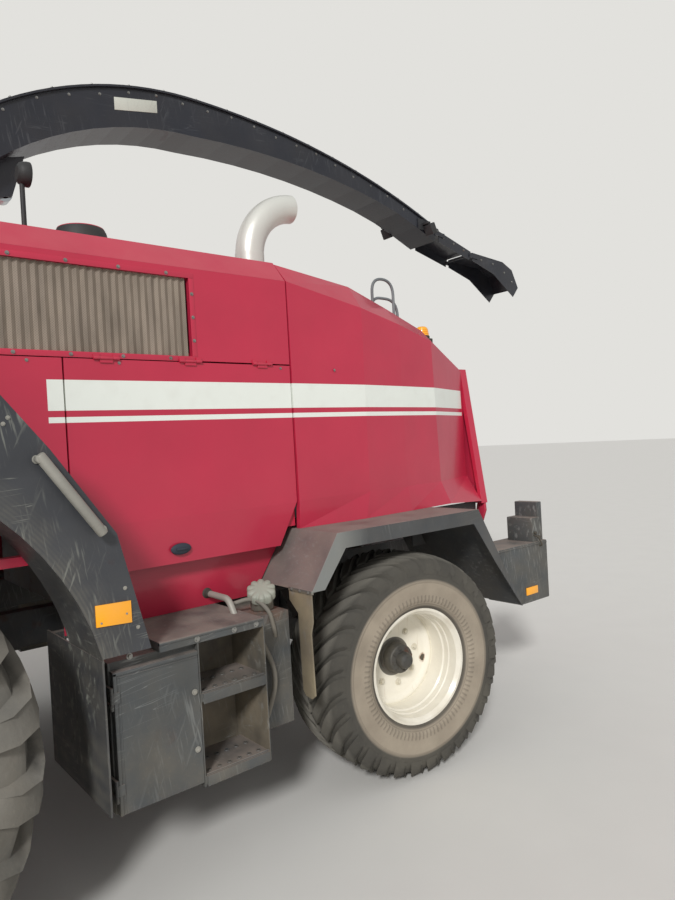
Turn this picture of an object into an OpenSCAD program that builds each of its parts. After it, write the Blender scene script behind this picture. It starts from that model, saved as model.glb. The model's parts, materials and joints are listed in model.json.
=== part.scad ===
// Self-propelled forage harvester without header, in millimetres.
// The front points to -Y, the machine's left side to +X. Stations along Y are
// measured from the rear axle inside each sub-part, and placed() moves them to
// the part's own origin, on the ground at the middle of the overall length.

/* [Wheels] */
// Distance between the front and rear axles
wheelbase = 3040; // [2900:10:3200]
// Distance between the middles of the front tyres
front_track = 2670; // [2600:10:2700]
// Outside diameter of the front tyre over its lugs
front_tyre_d = 1800; // [1760:10:1840]
// Width of the front tyre
front_tyre_w = 800; // [740:10:820]
// Radius of the front rim's flange
front_flange_r = 436; // [425:1:445]
// Distance between the middles of the rear tyres
rear_track = 2660; // [2620:10:2680]
// Outside diameter of the rear tyre over its lugs
rear_tyre_d = 1270; // [1240:10:1290]
// Width of the rear tyre
rear_tyre_w = 500; // [460:10:520]
// Radius of the rear rim's flange
rear_flange_r = 330; // [320:1:340]
// Lugs on each half of a tyre
lug_count = 18; // [14:1:18]

/* [Steering] */
// Distance of each kingpin from the middle of the machine
kingpin_x = 1000; // [980:5:1010]
// Angle at which the rear wheels stand when parked, outboard face forward
parked_steer = -6.8; // [-8:0.1:0]
// Length of the steering arm behind the kingpin
steer_arm = 200; // [180:5:210]

/* [Hood] */
// Half width of the hood at its side doors
hood_half_w = 1256; // [1240:2:1270]
// Station of the hood's front edge
hood_front_y = -2280; // [-2300:5:-2250]
// Station of the gap between the two side doors
door_gap_y = -1872; // [-1890:1:-1850]
// Station of the gap between the side doors and the rear hood
rear_gap_y = -650; // [-670:1:-630]
// Height of the side doors' lower edge
door_low_z = 1405; // [1395:1:1420]
// Height of the side doors' upper edge
door_top_z = 2380; // [2370:1:2390]
// Height where the roof starts above the side panels
roof_seam_z = 2845; // [2835:1:2855]
// Height of the flat roof's edge
roof_edge_z = 2970; // [2960:1:2980]
// Thickness of doors and panels
panel_t = 30; // [25:1:34]
// Width of the gaps round the doors
door_gap = 8; // [6:1:10]

/* [Spout] */
// Station of the slewing ring's axis
turret_y = -2560; // [-2570:1:-2550]
// Height of the slewing ring
ring_z = 3040; // [3030:1:3050]
// Half width of the spout
spout_half_w = 150; // [140:1:160]
// Station of the spout's highest point
spout_peak_y = -550; // [-570:1:-530]
// Height of the spout's highest point
spout_peak_z = 4340; // [4320:1:4360]
// Radius of the spout's back from the ring to the peak
spout_front_r = 2300; // [2290:1:2310]
// Radius of the spout's back behind the peak
spout_rear_r = 6200; // [6000:10:6400]
// Station where the first flap is hinged
flap_hinge_y = 1900; // [1880:1:1920]
// Station of the second flap's end, the rearmost point
spout_tip_y = 3100; // [3080:1:3120]

/* [Cab] */
// Half width of the cab
cab_half_w = 820; // [800:1:840]
// Height of the cab floor's underside
cab_floor_z = 2000; // [1980:5:2020]
// Height of the roof's underside
cab_top_z = 3560; // [3540:5:3580]
// Station of the cab's rear wall
cab_back_y = -3010; // [-3020:1:-3000]

/* [Feeder] */
// Station of the front of the feed housing, the foremost point
feed_front_y = -4950; // [-4980:5:-4920]
// Half width of the feed housing
feed_half_w = 390; // [370:1:400]
// Radius of the coupling pins
coupling_pin_r = 25; // [20:1:30]
// Radius of the tow hitch's bore
hitch_bore_r = 20; // [16:1:24]

/* [Hidden] */

// Shared clearances: seated faces of different pieces, and running fits
seat_gap = 0.3;
run_gap = 0.05;

axle_shift = -(spout_tip_y + feed_front_y) / 2;
front_r = front_tyre_d / 2;
rear_r = rear_tyre_d / 2;
red = "#c2304c";
black = "#3c4145";
cream = "#e6e0cc";
tyre_grey = "#57534c";

// Helpers

module placed() translate([0, axle_shift, 0]) children();

// Children on the left side, and their mirror image on the right
module both_sides() { children(); mirror([1, 0, 0]) children(); }

// Children drawn for the left, mirrored when side is -1
module on_side(side) { if (side > 0) children(); else mirror([1, 0, 0]) children(); }

// Outline of [y, z] points, extruded from x0 to x1
module slab_x(points, x0, x1)
  translate([x0, 0, 0]) rotate([90, 0, 90]) linear_extrude(x1 - x0) polygon(points);

// Outline of [x, z] points, extruded from y0 to y1
module slab_y(points, y0, y1)
  translate([0, y1, 0]) rotate([90, 0, 0]) linear_extrude(y1 - y0) polygon(points);

// Outline of [x, y] points, extruded from z0 to z1
module slab_z(points, z0, z1)
  translate([0, 0, z0]) linear_extrude(z1 - z0) polygon(points);

// Box between two opposite corners
module block(low, high) translate(low) cube(high - low);

// Round bar between two points
module bar(from, to, r) {
  d = to - from;
  translate(from) rotate([0, acos(d.z / norm(d)), atan2(d.y, d.x)])
    cylinder(h = norm(d), r = r, $fn = 24);
}

// Cylinder along X from x0 to x1 at station y and height z
module pin_x(x0, x1, y, z, r)
  translate([x0, y, z]) rotate([0, 90, 0]) cylinder(h = x1 - x0, r = r, $fn = 32);

// Points of an arc round a centre, from angle a0 to a1 in n steps
function arc(centre, r, a0, a1, n) =
  [for (i = [0 : n]) let (a = a0 + (a1 - a0) * i / n) centre + r * [cos(a), sin(a)]];

// Fixed half of a hinge with its axis along Z: a pin between two eyes, each
// with a leaf [x0, y0, x1, y1] that reaches to the piece that carries it
module hinge_fixed(length, r, leaf) {
  cylinder(h = length, r = r / 2, $fn = 32);
  for (z = [0, length * 0.75]) translate([0, 0, z]) {
    cylinder(h = length * 0.25, r = r, $fn = 32);
    block([leaf[0], leaf[1], 0], [leaf[2], leaf[3], length * 0.25]);
  }
}

// Moving half: one eye between the other two, with its own leaf
module hinge_moving(length, r, leaf) translate([0, 0, length * 0.25 + seat_gap]) difference() {
  union() {
    cylinder(h = length * 0.5 - 2 * seat_gap, r = r, $fn = 32);
    block([leaf[0], leaf[1], 0], [leaf[2], leaf[3], length * 0.5 - 2 * seat_gap]);
  }
  translate([0, 0, -1]) cylinder(h = length, r = r / 2 + run_gap, $fn = 32);
}

function flip(list) = [for (i = [len(list) - 1 : -1 : 0]) list[i]];

// Closed solid through rings of points, each ring closed and of one count.
// The rings meet again when closed is true. Otherwise the second half of each
// ring is the way back along the first, and the ends are closed between them.
module ring_solid(rings, closed) {
  n = len(rings);
  m = len(rings[0]);
  last = closed ? n - 1 : n - 2;
  sides = [for (i = [0 : last]) for (k = [0 : m - 1])
    let (a = i * m + k, b = i * m + (k + 1) % m,
         c = ((i + 1) % n) * m + (k + 1) % m, d = ((i + 1) % n) * m + k)
    each [[a, b, c], [a, c, d]]];
  caps = closed ? [] : [for (k = [0 : m / 2 - 2]) let (a = k, b = k + 1, c = m - 2 - k, d = m - 1 - k, e = (n - 1) * m)
    each [[c, b, a], [d, c, a], [e + a, e + b, e + c], [e + a, e + c, e + d]]];
  polyhedron(points = [for (ring = rings) each ring], faces = concat(sides, caps));
}

// Wheels

// Tyre with staggered slanted lugs, its axis along Z and its outboard face up.
// Each ring runs round the tyre, and the rings cross it from bead to bead.
// Columns: place across from the middle, radius under the groove or of the
// plain wall, height of the lug there, 1 where the ring follows the lugs
function tyre_rings(outer_r, width, flange_r, bead_r, rim_half, lug_h) = let (
    half = width / 2,
    groove_r = outer_r - lug_h,
    across = [
      [rim_half - 14, (bead_r + seat_gap) * flat_clear, 0, 0],
      [rim_half - 2, flange_r + 2, 0, 0],
      [half, bead_r + (groove_r - bead_r) * 0.55, 0, 0],
      [half * 0.95, groove_r - lug_h * 0.5, lug_h * 0.6, 1],
      [half * 0.10, groove_r, lug_h, 1]])
  [for (side = [1, -1]) for (k = [0 : 4])
    let (row = side > 0 ? across[k] : across[4 - k])
    tyre_ring(side * row[0], row[1], row[2], row[3], side, row[0] / half)];

// One ring of a tyre, with four points to each lug pitch
function tyre_ring(z, r, lift, follows, side, out) = let (pitch = 360 / lug_count)
  [for (j = [0 : 4 * lug_count - 1]) let (
      lug = floor(j / 4), corner = j % 4,
      even = pitch * j / 4,
      stagger = side > 0 ? 0 : pitch / 2,
      lean = 26 * out,
      edge = [0, 0.09, 0.40, 0.50][corner] * pitch,
      a = follows > 0 ? lug * pitch + edge + stagger + lean : even + 14,
      high = follows > 0 && (corner == 1 || corner == 2))
    [(r + (high ? lift : 0)) * cos(a), (r + (high ? lift : 0)) * sin(a), z]];

// The tyre's flat sides at the bead clear the round rim
flat_clear = 1 / cos(180 / (4 * lug_count));
front_bead_r = front_flange_r - 26;
rear_bead_r = rear_flange_r - 25;
front_rim_half = front_tyre_w * 0.42;
rear_rim_half = rear_tyre_w * 0.43;

module front_wheel_at(side)
  placed() on_side(side) translate([front_track / 2, -wheelbase, front_r]) rotate([0, 90, 0]) children();

// The rear wheels turn with their knuckles about the kingpins
module steered(side)
  placed() translate([side * kingpin_x, 0, rear_r]) rotate([0, 0, parked_steer]) on_side(side) children();

module rear_wheel_at(side)
  steered(side) translate([rear_track / 2 - kingpin_x, 0, 0]) rotate([0, 90, 0]) children();

front_lug_h = 52;
rear_lug_h = 26;

module front_tyre(side) front_wheel_at(side) color(tyre_grey)
  ring_solid(tyre_rings(front_r, front_tyre_w, front_flange_r, front_bead_r, front_rim_half, front_lug_h), true);

module rear_tyre(side) rear_wheel_at(side) color(tyre_grey)
  ring_solid(tyre_rings(rear_r, rear_tyre_w, rear_flange_r, rear_bead_r, rear_rim_half, rear_lug_h), true);

// Rim barrel with two flanges, its axis along Z
module rim_barrel(bead_r, flange_r, half, wall) rotate_extrude($fn = 96) polygon([
  [flange_r, half], [flange_r, half + 8], [flange_r - 14, half + 8], [bead_r - wall, half - 14],
  [bead_r - wall - 16, half * 0.5], [bead_r - wall - 16, -half * 0.5], [bead_r - wall, -half + 14],
  [flange_r - 14, -half - 8], [flange_r, -half - 8], [flange_r, -half],
  [bead_r, -half + 10], [bead_r - 14, -half * 0.5 + 10], [bead_r - 14, half * 0.5 - 10],
  [bead_r, half - 10]]);

hub_face = 40;
front_stub_r = 90;
spindle_r = 45;

module front_rim(side) front_wheel_at(side) color(cream) difference() {
  union() {
    rim_barrel(front_bead_r, front_flange_r, front_rim_half, 10);
    rotate_extrude($fn = 96) polygon([
      [0, hub_face + 40], [90, hub_face + 40], [120, hub_face], [190, hub_face],
      [330, hub_face + 90], [front_bead_r - 18, hub_face + 90], [front_bead_r - 18, hub_face + 70],
      [335, hub_face + 70], [200, hub_face - 22], [130, hub_face - 22], [130, hub_face - 60], [0, hub_face - 60]]);
  }
  translate([0, 0, -200]) cylinder(h = 200 + hub_face, r = front_stub_r + run_gap, $fn = 64);
  for (i = [0 : 7]) rotate([0, 0, 45 * i]) translate([265, 0, 0]) cylinder(h = 300, r = 24, $fn = 24);
}

rear_dish = -40;

module rear_rim(side) rear_wheel_at(side) color(cream) difference() {
  union() {
    rim_barrel(rear_bead_r, rear_flange_r, rear_rim_half, 9);
    rotate_extrude($fn = 96) polygon([
      [0, rear_dish + 90], [52, rear_dish + 90], [60, rear_dish + 84], [64, rear_dish + 30],
      [105, rear_dish + 26], [112, rear_dish + 12], [165, rear_dish + 12], [255, rear_dish + 80],
      [rear_bead_r - 16, rear_dish + 86], [rear_bead_r - 16, rear_dish + 70], [262, rear_dish + 66],
      [170, rear_dish], [110, rear_dish], [100, rear_dish - 60], [0, rear_dish - 60]]);
  }
  translate([0, 0, -200]) cylinder(h = 200 + rear_dish + 60, r = spindle_r + run_gap, $fn = 48);
}

// Axles and steering

axle_z = front_r;

drive_x = 1080;

// Beam under the rails, final drives, wheel stubs and the lift cylinders' lugs
module front_axle() placed() color(black) {
  both_sides() {
    pin_x(rail_x + 99, drive_x + 1, -wheelbase, axle_z, 150);
    pin_x(drive_x, front_track / 2 - 62, -wheelbase, axle_z, 210);
    pin_x(drive_x, front_track / 2 + hub_face - 2, -wheelbase, axle_z, front_stub_r);
    for (x = [lift_x - 47, lift_x + 35])
      slab_x([[lift_foot[0] - 30, lift_foot[1] - 30], [lift_foot[0] + 30, lift_foot[1] - 30],
        [-wheelbase + 100, axle_z - 129], [-wheelbase - 60, axle_z - 129]], x, x + 12);
    pin_x(lift_x - 47, lift_x + 47, lift_foot[0], lift_foot[1], lift_pin_r);
  }
  block([-rail_x - 100, -wheelbase - 130, axle_z - 130], [rail_x + 100, -wheelbase + 130, rail_z0 - seat_gap]);
}

kingpin_r = 30;
boss_half = 105;
ear_t = 34;

module rear_axle() placed() color(black) difference() {
  union() {
    block([-kingpin_x + 20, -75, rear_r - 80], [kingpin_x - 20, 75, rear_r + 80]);
    both_sides() translate([kingpin_x, 0, rear_r - boss_half]) cylinder(h = 2 * boss_half, r = 68, $fn = 48);
    slab_y([[-330, rear_r + 79], [330, rear_r + 79], [180, rear_r + 260], [-180, rear_r + 260]], -70, 70);
  }
  both_sides() translate([kingpin_x, 0, 0]) cylinder(h = rear_r * 2, r = kingpin_r + run_gap, $fn = 48);
  translate([0, -200, rear_r + 190]) rotate([-90, 0, 0]) cylinder(h = 400, r = 40 + run_gap, $fn = 48);
}

arm_z = -boss_half - seat_gap - ear_t;
tie_pin_r = 14;

// Knuckle: two ears round the axle's boss on the kingpin, a back plate that
// carries the spindle, and the steering arm behind the lower ear
module knuckle(side) steered(side) color(black) {
  for (z = [boss_half + seat_gap, arm_z])
    slab_z([[-60, -62], [125, -75], [125, 75], [-60, 62]], z, z + ear_t);
  translate([0, 0, arm_z]) cylinder(h = -2 * arm_z, r = kingpin_r, $fn = 48);
  block([88, -75, arm_z], [125, 75, -arm_z]);
  translate([88, 0, 0]) rotate([0, 90, 0]) cylinder(h = rear_track / 2 - kingpin_x + rear_dish - 88 + 55, r = spindle_r, $fn = 48);
  slab_z([[-28, 50], [28, 50], [24, steer_arm + 24], [-24, steer_arm + 24]], arm_z, arm_z + ear_t);
  translate([0, steer_arm, arm_z - 62]) cylinder(h = 63, r = tie_pin_r, $fn = 32);
}

// The rod joins the two steering arms, and its right eye has the open clearance
tie_dx = -steer_arm * sin(parked_steer);
tie_dy = steer_arm * cos(parked_steer);
tie_z = rear_r + arm_z - 60;
open_gap = 1.5;

module tie_rod() placed() translate([tie_dx, tie_dy, tie_z]) color(black) difference() {
  union() {
    rotate([0, 90, 0]) translate([-25, 0, -kingpin_x + 20]) cylinder(h = 2 * kingpin_x - 40, r = 19, $fn = 32);
    both_sides() translate([kingpin_x, 0, 0]) cylinder(h = 50, r = 30, $fn = 32);
  }
  translate([kingpin_x, 0, -10]) cylinder(h = 80, r = tie_pin_r + run_gap, $fn = 32);
  translate([-kingpin_x, 0, -10]) cylinder(h = 80, r = tie_pin_r + open_gap, $fn = 32);
}

// Chassis

rail_x = 500;
rail_z0 = 1000;
rail_z1 = 1180;
chassis_rear_y = 1560;
rail_front_y = -4250;
tank_x = 1000;
box_x = 1000;

module chassis_frame() placed() color(black) {
  difference() {
    union() {
      both_sides() block([rail_x, rail_front_y, rail_z0], [rail_x + 90, chassis_rear_y, rail_z1]);
      for (y = [-2300, -900, 1420])
        block([-rail_x, y, rail_z0 + 20], [rail_x, y + 120, rail_z1 - 20]);
      // Pivot carrier for the rear axle
      for (y = [-150, 80]) block([-170, y, rear_r + 120], [170, y + 70, rail_z1 - 30]);
      for (y = [-150, 80]) block([-rail_x, y, rail_z0 + 20], [rail_x, y + 70, rail_z1 - 20]);
      // Tow hitch jaw
      block([-90, chassis_rear_y - 30, 1000], [90, chassis_rear_y + 130, 1030]);
      block([-90, chassis_rear_y - 30, 1120], [90, chassis_rear_y + 130, 1150]);
      block([-120, chassis_rear_y - 60, 985], [120, chassis_rear_y, 1165]);
    }
    translate([0, chassis_rear_y + 80, 900]) cylinder(h = 400, r = hitch_bore_r, $fn = 32);
  }
  translate([0, -149, rear_r + 190]) rotate([-90, 0, 0]) cylinder(h = 298, r = 40, $fn = 48);
}

// Posts, pillars, beams and outriggers that stand on the rails or reach out
// from them, each a solid of its own seated on the next
module frame_supports() placed() color(black) both_sides() {
  top = rail_z1 + seat_gap;
  side = rail_x + 90 + seat_gap;
  for (y = [-1640, -1230]) block([side, y, 1030], [1180, y + 70, platform_z - 40]);
  block([side, -1040, 1030], [tank_x - seat_gap, -970, 1100]);
  block([side, 1180, 1030], [box_x - seat_gap, 1260, 1100]);
  // Posts under the cab
  for (y = [rail_front_y + 20, -3400]) block([rail_x + 10, y, top], [rail_x + 80, y + 70, cab_floor_z - seat_gap]);
  // Pillars and beams under the hood's sills, and under the fenders
  for (row = [[-2230, sill_low_z], [-1450, sill_low_z], [-960, sill_low_z], [-560, ledge_z - fender_t], [330, ledge_z - fender_t]]) {
    block([rail_x + 20, row[0], top], [rail_x + 80, row[0] + 60, row[1] - 60 - seat_gap]);
    block([rail_x + 20, row[0], row[1] - 60], [side_in - 12, row[0] + 60, row[1] - seat_gap]);
  }
}

engine_top_z = 2350;

// Engine as one plain block on the rails
module engine_block() placed() color("#6a6f72")
  block([-rail_x - 15, -1750, rail_z1 + seat_gap], [rail_x + 15, -200, engine_top_z]);

chopper_x = 420;
trunnion_r = 40;
ring_r = 250;
throat_r = 190;

// Cutterhead housing ahead of the front axle, with the feeder's trunnions,
// and the chute over the axle up to the slewing ring
module chopper_housing() placed() color(red) {
  slab_x([[-3950, 620], [-3700, 470], [-3350, 470], [-3200, 700], [-3200, 1400], [-3300, 1560],
    [-3800, 1500], [-3950, 1250]], -chopper_x, chopper_x);
  both_sides() pin_x(chopper_x - 1, chopper_x + 60, feeder_pivot_y, feeder_pivot_z, trunnion_r);
  // Saddle on the front axle
  block([-chopper_x, -3201, rail_z0], [chopper_x, -2950, 1060]);
  difference() {
    slab_x([[-3201, 1050], [-2400, 1050], [-2360, 1500], [-2380, ring_z - 60], [-2740, ring_z - 60],
      [-2800, 1700], [-3201, 1350]], -230, 230);
    slab_x([[-2700, 1500], [-2420, 1500], [-2420, ring_z], [-2700, ring_z]], -190, 190);
  }
  difference() {
    translate([0, turret_y, ring_z - 61]) cylinder(h = 61, r = ring_r, $fn = 64);
    translate([0, turret_y, ring_z - 100]) cylinder(h = 200, r = throat_r, $fn = 64);
  }
}

// Feeder

feeder_pivot_y = -3560;
feeder_pivot_z = 1000;
feed_low_z = 560;
feed_top_z = 1240;
feed_back_y = -3980;
roll_x = feed_half_w - 40;
roll_upper = [-4500, 1045];
roll_lower = [-4560, 750];
arm_t = 30;

module feed_housing() placed() color(black) {
  difference() {
    union() {
      // Its back is V-shaped, to pass the cutterhead housing as it swings
      slab_x([[feed_front_y + 40, feed_low_z], [feed_back_y - 30, feed_low_z + 58], [feed_back_y, feeder_pivot_z],
        [feed_back_y - 100, feed_top_z + 10], [-4500, feed_top_z + 60], [feed_front_y + 40, feed_top_z - 20]],
        -feed_half_w, feed_half_w);
      block([-feed_half_w - 110, feed_front_y, feed_low_z - 40],
        [feed_half_w + 110, feed_front_y + 60, feed_top_z + 60]);
    }
    slab_x([[feed_front_y - 1, feed_low_z + 40], [feed_back_y + 1, feed_low_z + 100],
      [feed_back_y + 1, feed_top_z - 40], [-4500, feed_top_z + 20], [feed_front_y - 1, feed_top_z - 60]],
      -feed_half_w + 20, feed_half_w - 20);
    for (at = [roll_upper, roll_lower])
      pin_x(-feed_half_w - 1, feed_half_w + 1, at[0], at[1], 30 + run_gap);
  }
  // Side arms back to the trunnions, coupling pins and the lift cylinders' pins
  both_sides() {
    difference() {
      slab_x([[feed_back_y - 200, 800], [feeder_pivot_y + 40, 930], [feeder_pivot_y + 90, 960],
        [feeder_pivot_y + 90, 1040], [feeder_pivot_y + 40, 1070], [feed_back_y - 200, feed_top_z - 40]],
        chopper_x + seat_gap, chopper_x + arm_t);
      pin_x(chopper_x, chopper_x + 100, feeder_pivot_y, feeder_pivot_z, trunnion_r + run_gap);
    }
    block([feed_half_w - 1, feed_back_y - 200, 800], [chopper_x + 1, feed_back_y - 100, feed_top_z - 40]);
    pin_x(feed_half_w + 109, feed_half_w + 190, feed_front_y + 30, feed_top_z, coupling_pin_r);
    pin_x(feed_half_w - 1, lift_x + 28, lift_eye[0], lift_eye[1], lift_pin_r - 2);
  }
}

// Roll of paddles between the feed housing's walls
module feed_roll(at, r, bars) translate([0, at[0], at[1]]) {
  pin_x(-roll_x, roll_x, 0, 0, r - 26);
  pin_x(-feed_half_w - 30, feed_half_w + 30, 0, 0, 30);
  for (i = [0 : bars - 1]) rotate([360 / bars * i, 0, 0])
    block([-roll_x, -8, r - 40], [roll_x, 8, r]);
}

module feed_roll_upper() placed() color("#8a8c8c") feed_roll(roll_upper, 150, 10);
module feed_roll_lower() placed() color("#8a8c8c") feed_roll(roll_lower, 110, 8);

// The two lift cylinders lie beside the feeder, one each side
lift_foot = [-3010, 640];
lift_eye = [-4430, 625];
lift_x = 465;
lift_pin_r = 20;
lift_barrel_len = 900;
lift_drift = 9;

function toward(a, b, t) = a + (b - a) * t / norm(b - a);

// Children's Z axis laid along the line from station point a to point b, at x
module along(a, b, x) {
  d = b - a;
  translate([x, a[0], a[1]]) rotate([atan2(d[1], d[0]) - 90, 0, 0]) children();
}

// Cylinder barrel with a foot eye and a bore for its rod
module cylinder_barrel(length, r, rod_r, eye_half, pin_r) difference() {
  union() {
    translate([0, 0, 10]) cylinder(h = length - 10, r = r, $fn = 48);
    translate([0, 0, length - 30]) cylinder(h = 30, r = r + 5, $fn = 48);
    rotate([0, 90, 0]) translate([0, 0, -eye_half]) cylinder(h = 2 * eye_half, r = pin_r + 17, $fn = 48);
  }
  translate([0, 0, pin_r + 30]) cylinder(h = length, r = rod_r + run_gap, $fn = 48);
  rotate([0, 90, 0]) translate([0, 0, -100]) cylinder(h = 200, r = pin_r + run_gap, $fn = 48);
}

module lift_barrels() placed() color(black) both_sides() along(lift_foot, lift_eye, lift_x)
  cylinder_barrel(lift_barrel_len, 33, 22, 34, lift_pin_r);

// Rod from z0 to its eye round z1, whose bore has open clearance
module cylinder_rod(z0, z1, r, eye_half, bore_r) difference() {
  union() {
    translate([0, 0, z0]) cylinder(h = z1 - z0 - bore_r - 4, r = r, $fn = 48);
    translate([0, 0, z1]) rotate([0, 90, 0]) translate([0, 0, -eye_half])
      cylinder(h = 2 * eye_half, r = bore_r + 18, $fn = 48);
  }
  translate([0, 0, z1]) rotate([0, 90, 0]) translate([0, 0, -60]) cylinder(h = 120, r = bore_r, $fn = 48);
}

module lift_rods() placed() color("#b9bcbe") both_sides() along(lift_foot, lift_eye, lift_x)
  cylinder_rod(lift_barrel_len - 300, norm(lift_eye - lift_foot), 22, 25, lift_pin_r - 2 + lift_drift);

// Hood

// Height of the fenders' ledge that the rear hood stands on
ledge_z = 1484;
grille_y0 = -2190;
grille_y1 = -1245;
grille_z0 = 2410;
grille_z1 = 2795;
sill_z = 1630;
side_in = hood_half_w - panel_t;

sill_low_z = 1500;
side_rear_y = rear_gap_y - door_gap;

// Fixed side band above the doors with the opening for the grille, the posts
// and sills behind the doors, and the fixed panel ahead of each door
module hood_side_panels() placed() color(red) both_sides() {
  difference() {
    block([side_in, hood_front_y, door_top_z + door_gap], [hood_half_w, side_rear_y, roof_seam_z - seat_gap]);
    block([side_in - 1, grille_y0, grille_z0], [hood_half_w + 1, grille_y1, grille_z1]);
  }
  for (y = [hood_front_y, door_gap_y - 30, side_rear_y - 60])
    block([side_in - 60, y, sill_low_z], [side_in - seat_gap, y + 60, door_top_z + door_gap + 1]);
  for (z = [sill_low_z, door_top_z + door_gap])
    block([side_in - 60, hood_front_y, z], [side_in - seat_gap, side_rear_y, z + 40]);
  block([side_in - 1, hood_front_y, door_top_z + door_gap], [side_in + 1, side_rear_y, door_top_z + door_gap + 40]);
  block([side_in, hood_front_y, front_panel_low_z], [hood_half_w, door_gap_y - door_gap / 2, door_top_z]);
  for (y = door_hinge_ys) side_hinge_at(y) hinge_fixed(door_hinge_len, door_hinge_r, [-8, 0, 0, 20]);
}

// Hinges of the side doors: axis along Y just outside the seam over the door
door_hinge_r = 7;
door_hinge_x = hood_half_w + door_hinge_r + seat_gap;
door_hinge_z = door_top_z + door_gap / 2;
door_hinge_len = 120;
door_hinge_ys = [-1740, -1320, -900];
module side_hinge_at(y) translate([door_hinge_x, y + door_hinge_len, door_hinge_z]) rotate([90, 0, 0]) children();

// Corrugated mesh behind its frame
module intake_grilles() placed() color("#a59a86") both_sides() {
  pitch = 35;
  n = floor((grille_y1 - grille_y0 - 2 * seat_gap) / pitch);
  top = [for (i = [0 : n]) each [[side_in + 12, grille_y0 + 1 + i * pitch], [side_in + 20, grille_y0 + 1 + (i + 0.5) * pitch]]];
  edge = [for (p = top) if (p[1] < grille_y1 - 1) p];
  slab_z(concat(edge, flip([for (p = edge) p - [6, 0]])), grille_z0 + seat_gap, grille_z1 - seat_gap);
}

front_panel_low_z = 1860;
door_y0 = door_gap_y + door_gap / 2;

// Door hinged along its upper edge. Its front lower corner is cut to pass the
// mudguard and its rear one to follow the fender, and its face leans in
// below the crease.
module side_door(side) placed() on_side(side) color(red) {
  difference() {
    slab_x([[-1785, door_low_z], [side_rear_y - 115, door_low_z], [side_rear_y, door_low_z + 230],
      [side_rear_y, door_top_z], [door_y0, door_top_z], [door_y0, 1620], [-1840, 1560]], side_in, hood_half_w);
    slab_y([[hood_half_w, sill_z], [hood_half_w + 10, sill_z], [hood_half_w + 10, door_low_z - 1],
      [hood_half_w - 16, door_low_z - 1]], door_y0 - 1, side_rear_y + 1);
  }
  for (y = door_hinge_ys) side_hinge_at(y) hinge_moving(door_hinge_len, door_hinge_r, [-8, -20, 0, 0]);
}

roof_half_w = 1150;
roof_crown = 34;
dome_at = [900, -1630];

// Roof over the side bands, crowned, with chamfered edges
module roof_front() placed() color(red) {
  outer = [[hood_half_w, roof_seam_z], [roof_half_w, roof_edge_z], [0, roof_edge_z + roof_crown],
    [-roof_half_w, roof_edge_z], [-hood_half_w, roof_seam_z]];
  inner = [[-side_in, roof_seam_z], [-roof_half_w + 14, roof_edge_z - panel_t], [0, roof_edge_z + roof_crown - panel_t],
    [roof_half_w - 14, roof_edge_z - panel_t], [side_in, roof_seam_z]];
  slab_y(concat(outer, inner), hood_front_y, side_rear_y);
  // Bulkhead that closes the hood's front
  slab_y([[side_in - 62, sill_low_z + 60], [side_in - 62, roof_seam_z], [roof_half_w - 20, roof_edge_z - panel_t + 2],
    [-roof_half_w + 20, roof_edge_z - panel_t + 2], [-side_in + 62, roof_seam_z], [-side_in + 62, sill_low_z + 60]],
    hood_front_y, hood_front_y + 20);
  // Low dome on the roof
  translate([dome_at[0], dome_at[1], roof_edge_z]) cylinder(h = 100, r1 = 132, r2 = 112, $fn = 48);
}

// Rear hood: stations of an arch of straight walls, from the gap to the rear.
// Columns: y at the foot, y at the shoulder, half width at the foot, foot height,
// half width at the shoulder, shoulder height, half width at the roof, roof height
hood_rear_y = 1200;
foot_z = ledge_z + seat_gap;
hood_stations = [
  [rear_gap_y, rear_gap_y, hood_half_w + 2, foot_z, hood_half_w, roof_seam_z, roof_half_w, roof_edge_z - 8],
  [-160, -90, hood_half_w + 14, foot_z, hood_half_w - 16, 2750, roof_half_w - 20, 2900],
  [270, 270, hood_half_w - 24, foot_z, hood_half_w - 66, 2685, roof_half_w - 70, 2806],
  [700, 640, hood_half_w - 71, foot_z, hood_half_w - 126, 2605, roof_half_w - 105, 2690],
  [hood_rear_y, hood_rear_y, hood_half_w - 206, 1448, hood_half_w - 346, 2440, roof_half_w - 280, 2476]];

function arch(s, t) = [
  [s[2] - t, s[0], s[3]], [s[4] + 12 - t, s[0] * 0.25 + s[1] * 0.75, 1640], [s[4] - t, s[1], s[5] - t * 0.4],
  [s[6] - t * 0.4, s[1], s[7] - t], [0, s[1], s[7] + 25 - t]];
function mirrored(points) = [for (p = flip(points)) if (p.x > 0.001) [-p.x, p.y, p.z]];
function full_arch(s, t) = concat(arch(s, t), mirrored(arch(s, t)));

module rear_hood() placed() color(red) {
  difference() {
    ring_solid([for (s = hood_stations) concat(full_arch(s, 0), flip(full_arch(s, panel_t)))], false);
    translate([exhaust_x, exhaust_y, 2700]) cylinder(h = 400, r = pipe_r + 8, $fn = 48);
  }
  rear_hinges() hinge_fixed(rear_hinge_len, 12, [-40, -10, 0, 10]);
}

// Rear door hinged along its upper edge, a tray with louvres
rear_door_y0 = hood_rear_y + 4;
rear_door_y1 = rear_door_y0 + 66;
rear_door_low_z = 1430;
rear_door_top_z = 2452;
rear_hinge_y = hood_rear_y + 20;
rear_hinge_z = rear_door_top_z + 18;
rear_hinge_len = 160;

function rear_door_outline(t) = [[1048 - t, rear_door_low_z + t], [905 - t, rear_door_top_z - t],
  [-905 + t, rear_door_top_z - t], [-1048 + t, rear_door_low_z + t]];

// Hinges with their local X rearward and their local Y upward
module rear_hinges() for (x = [-600, 600])
  translate([x - rear_hinge_len / 2, rear_hinge_y, rear_hinge_z]) rotate([90, 0, 90]) children();

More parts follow.
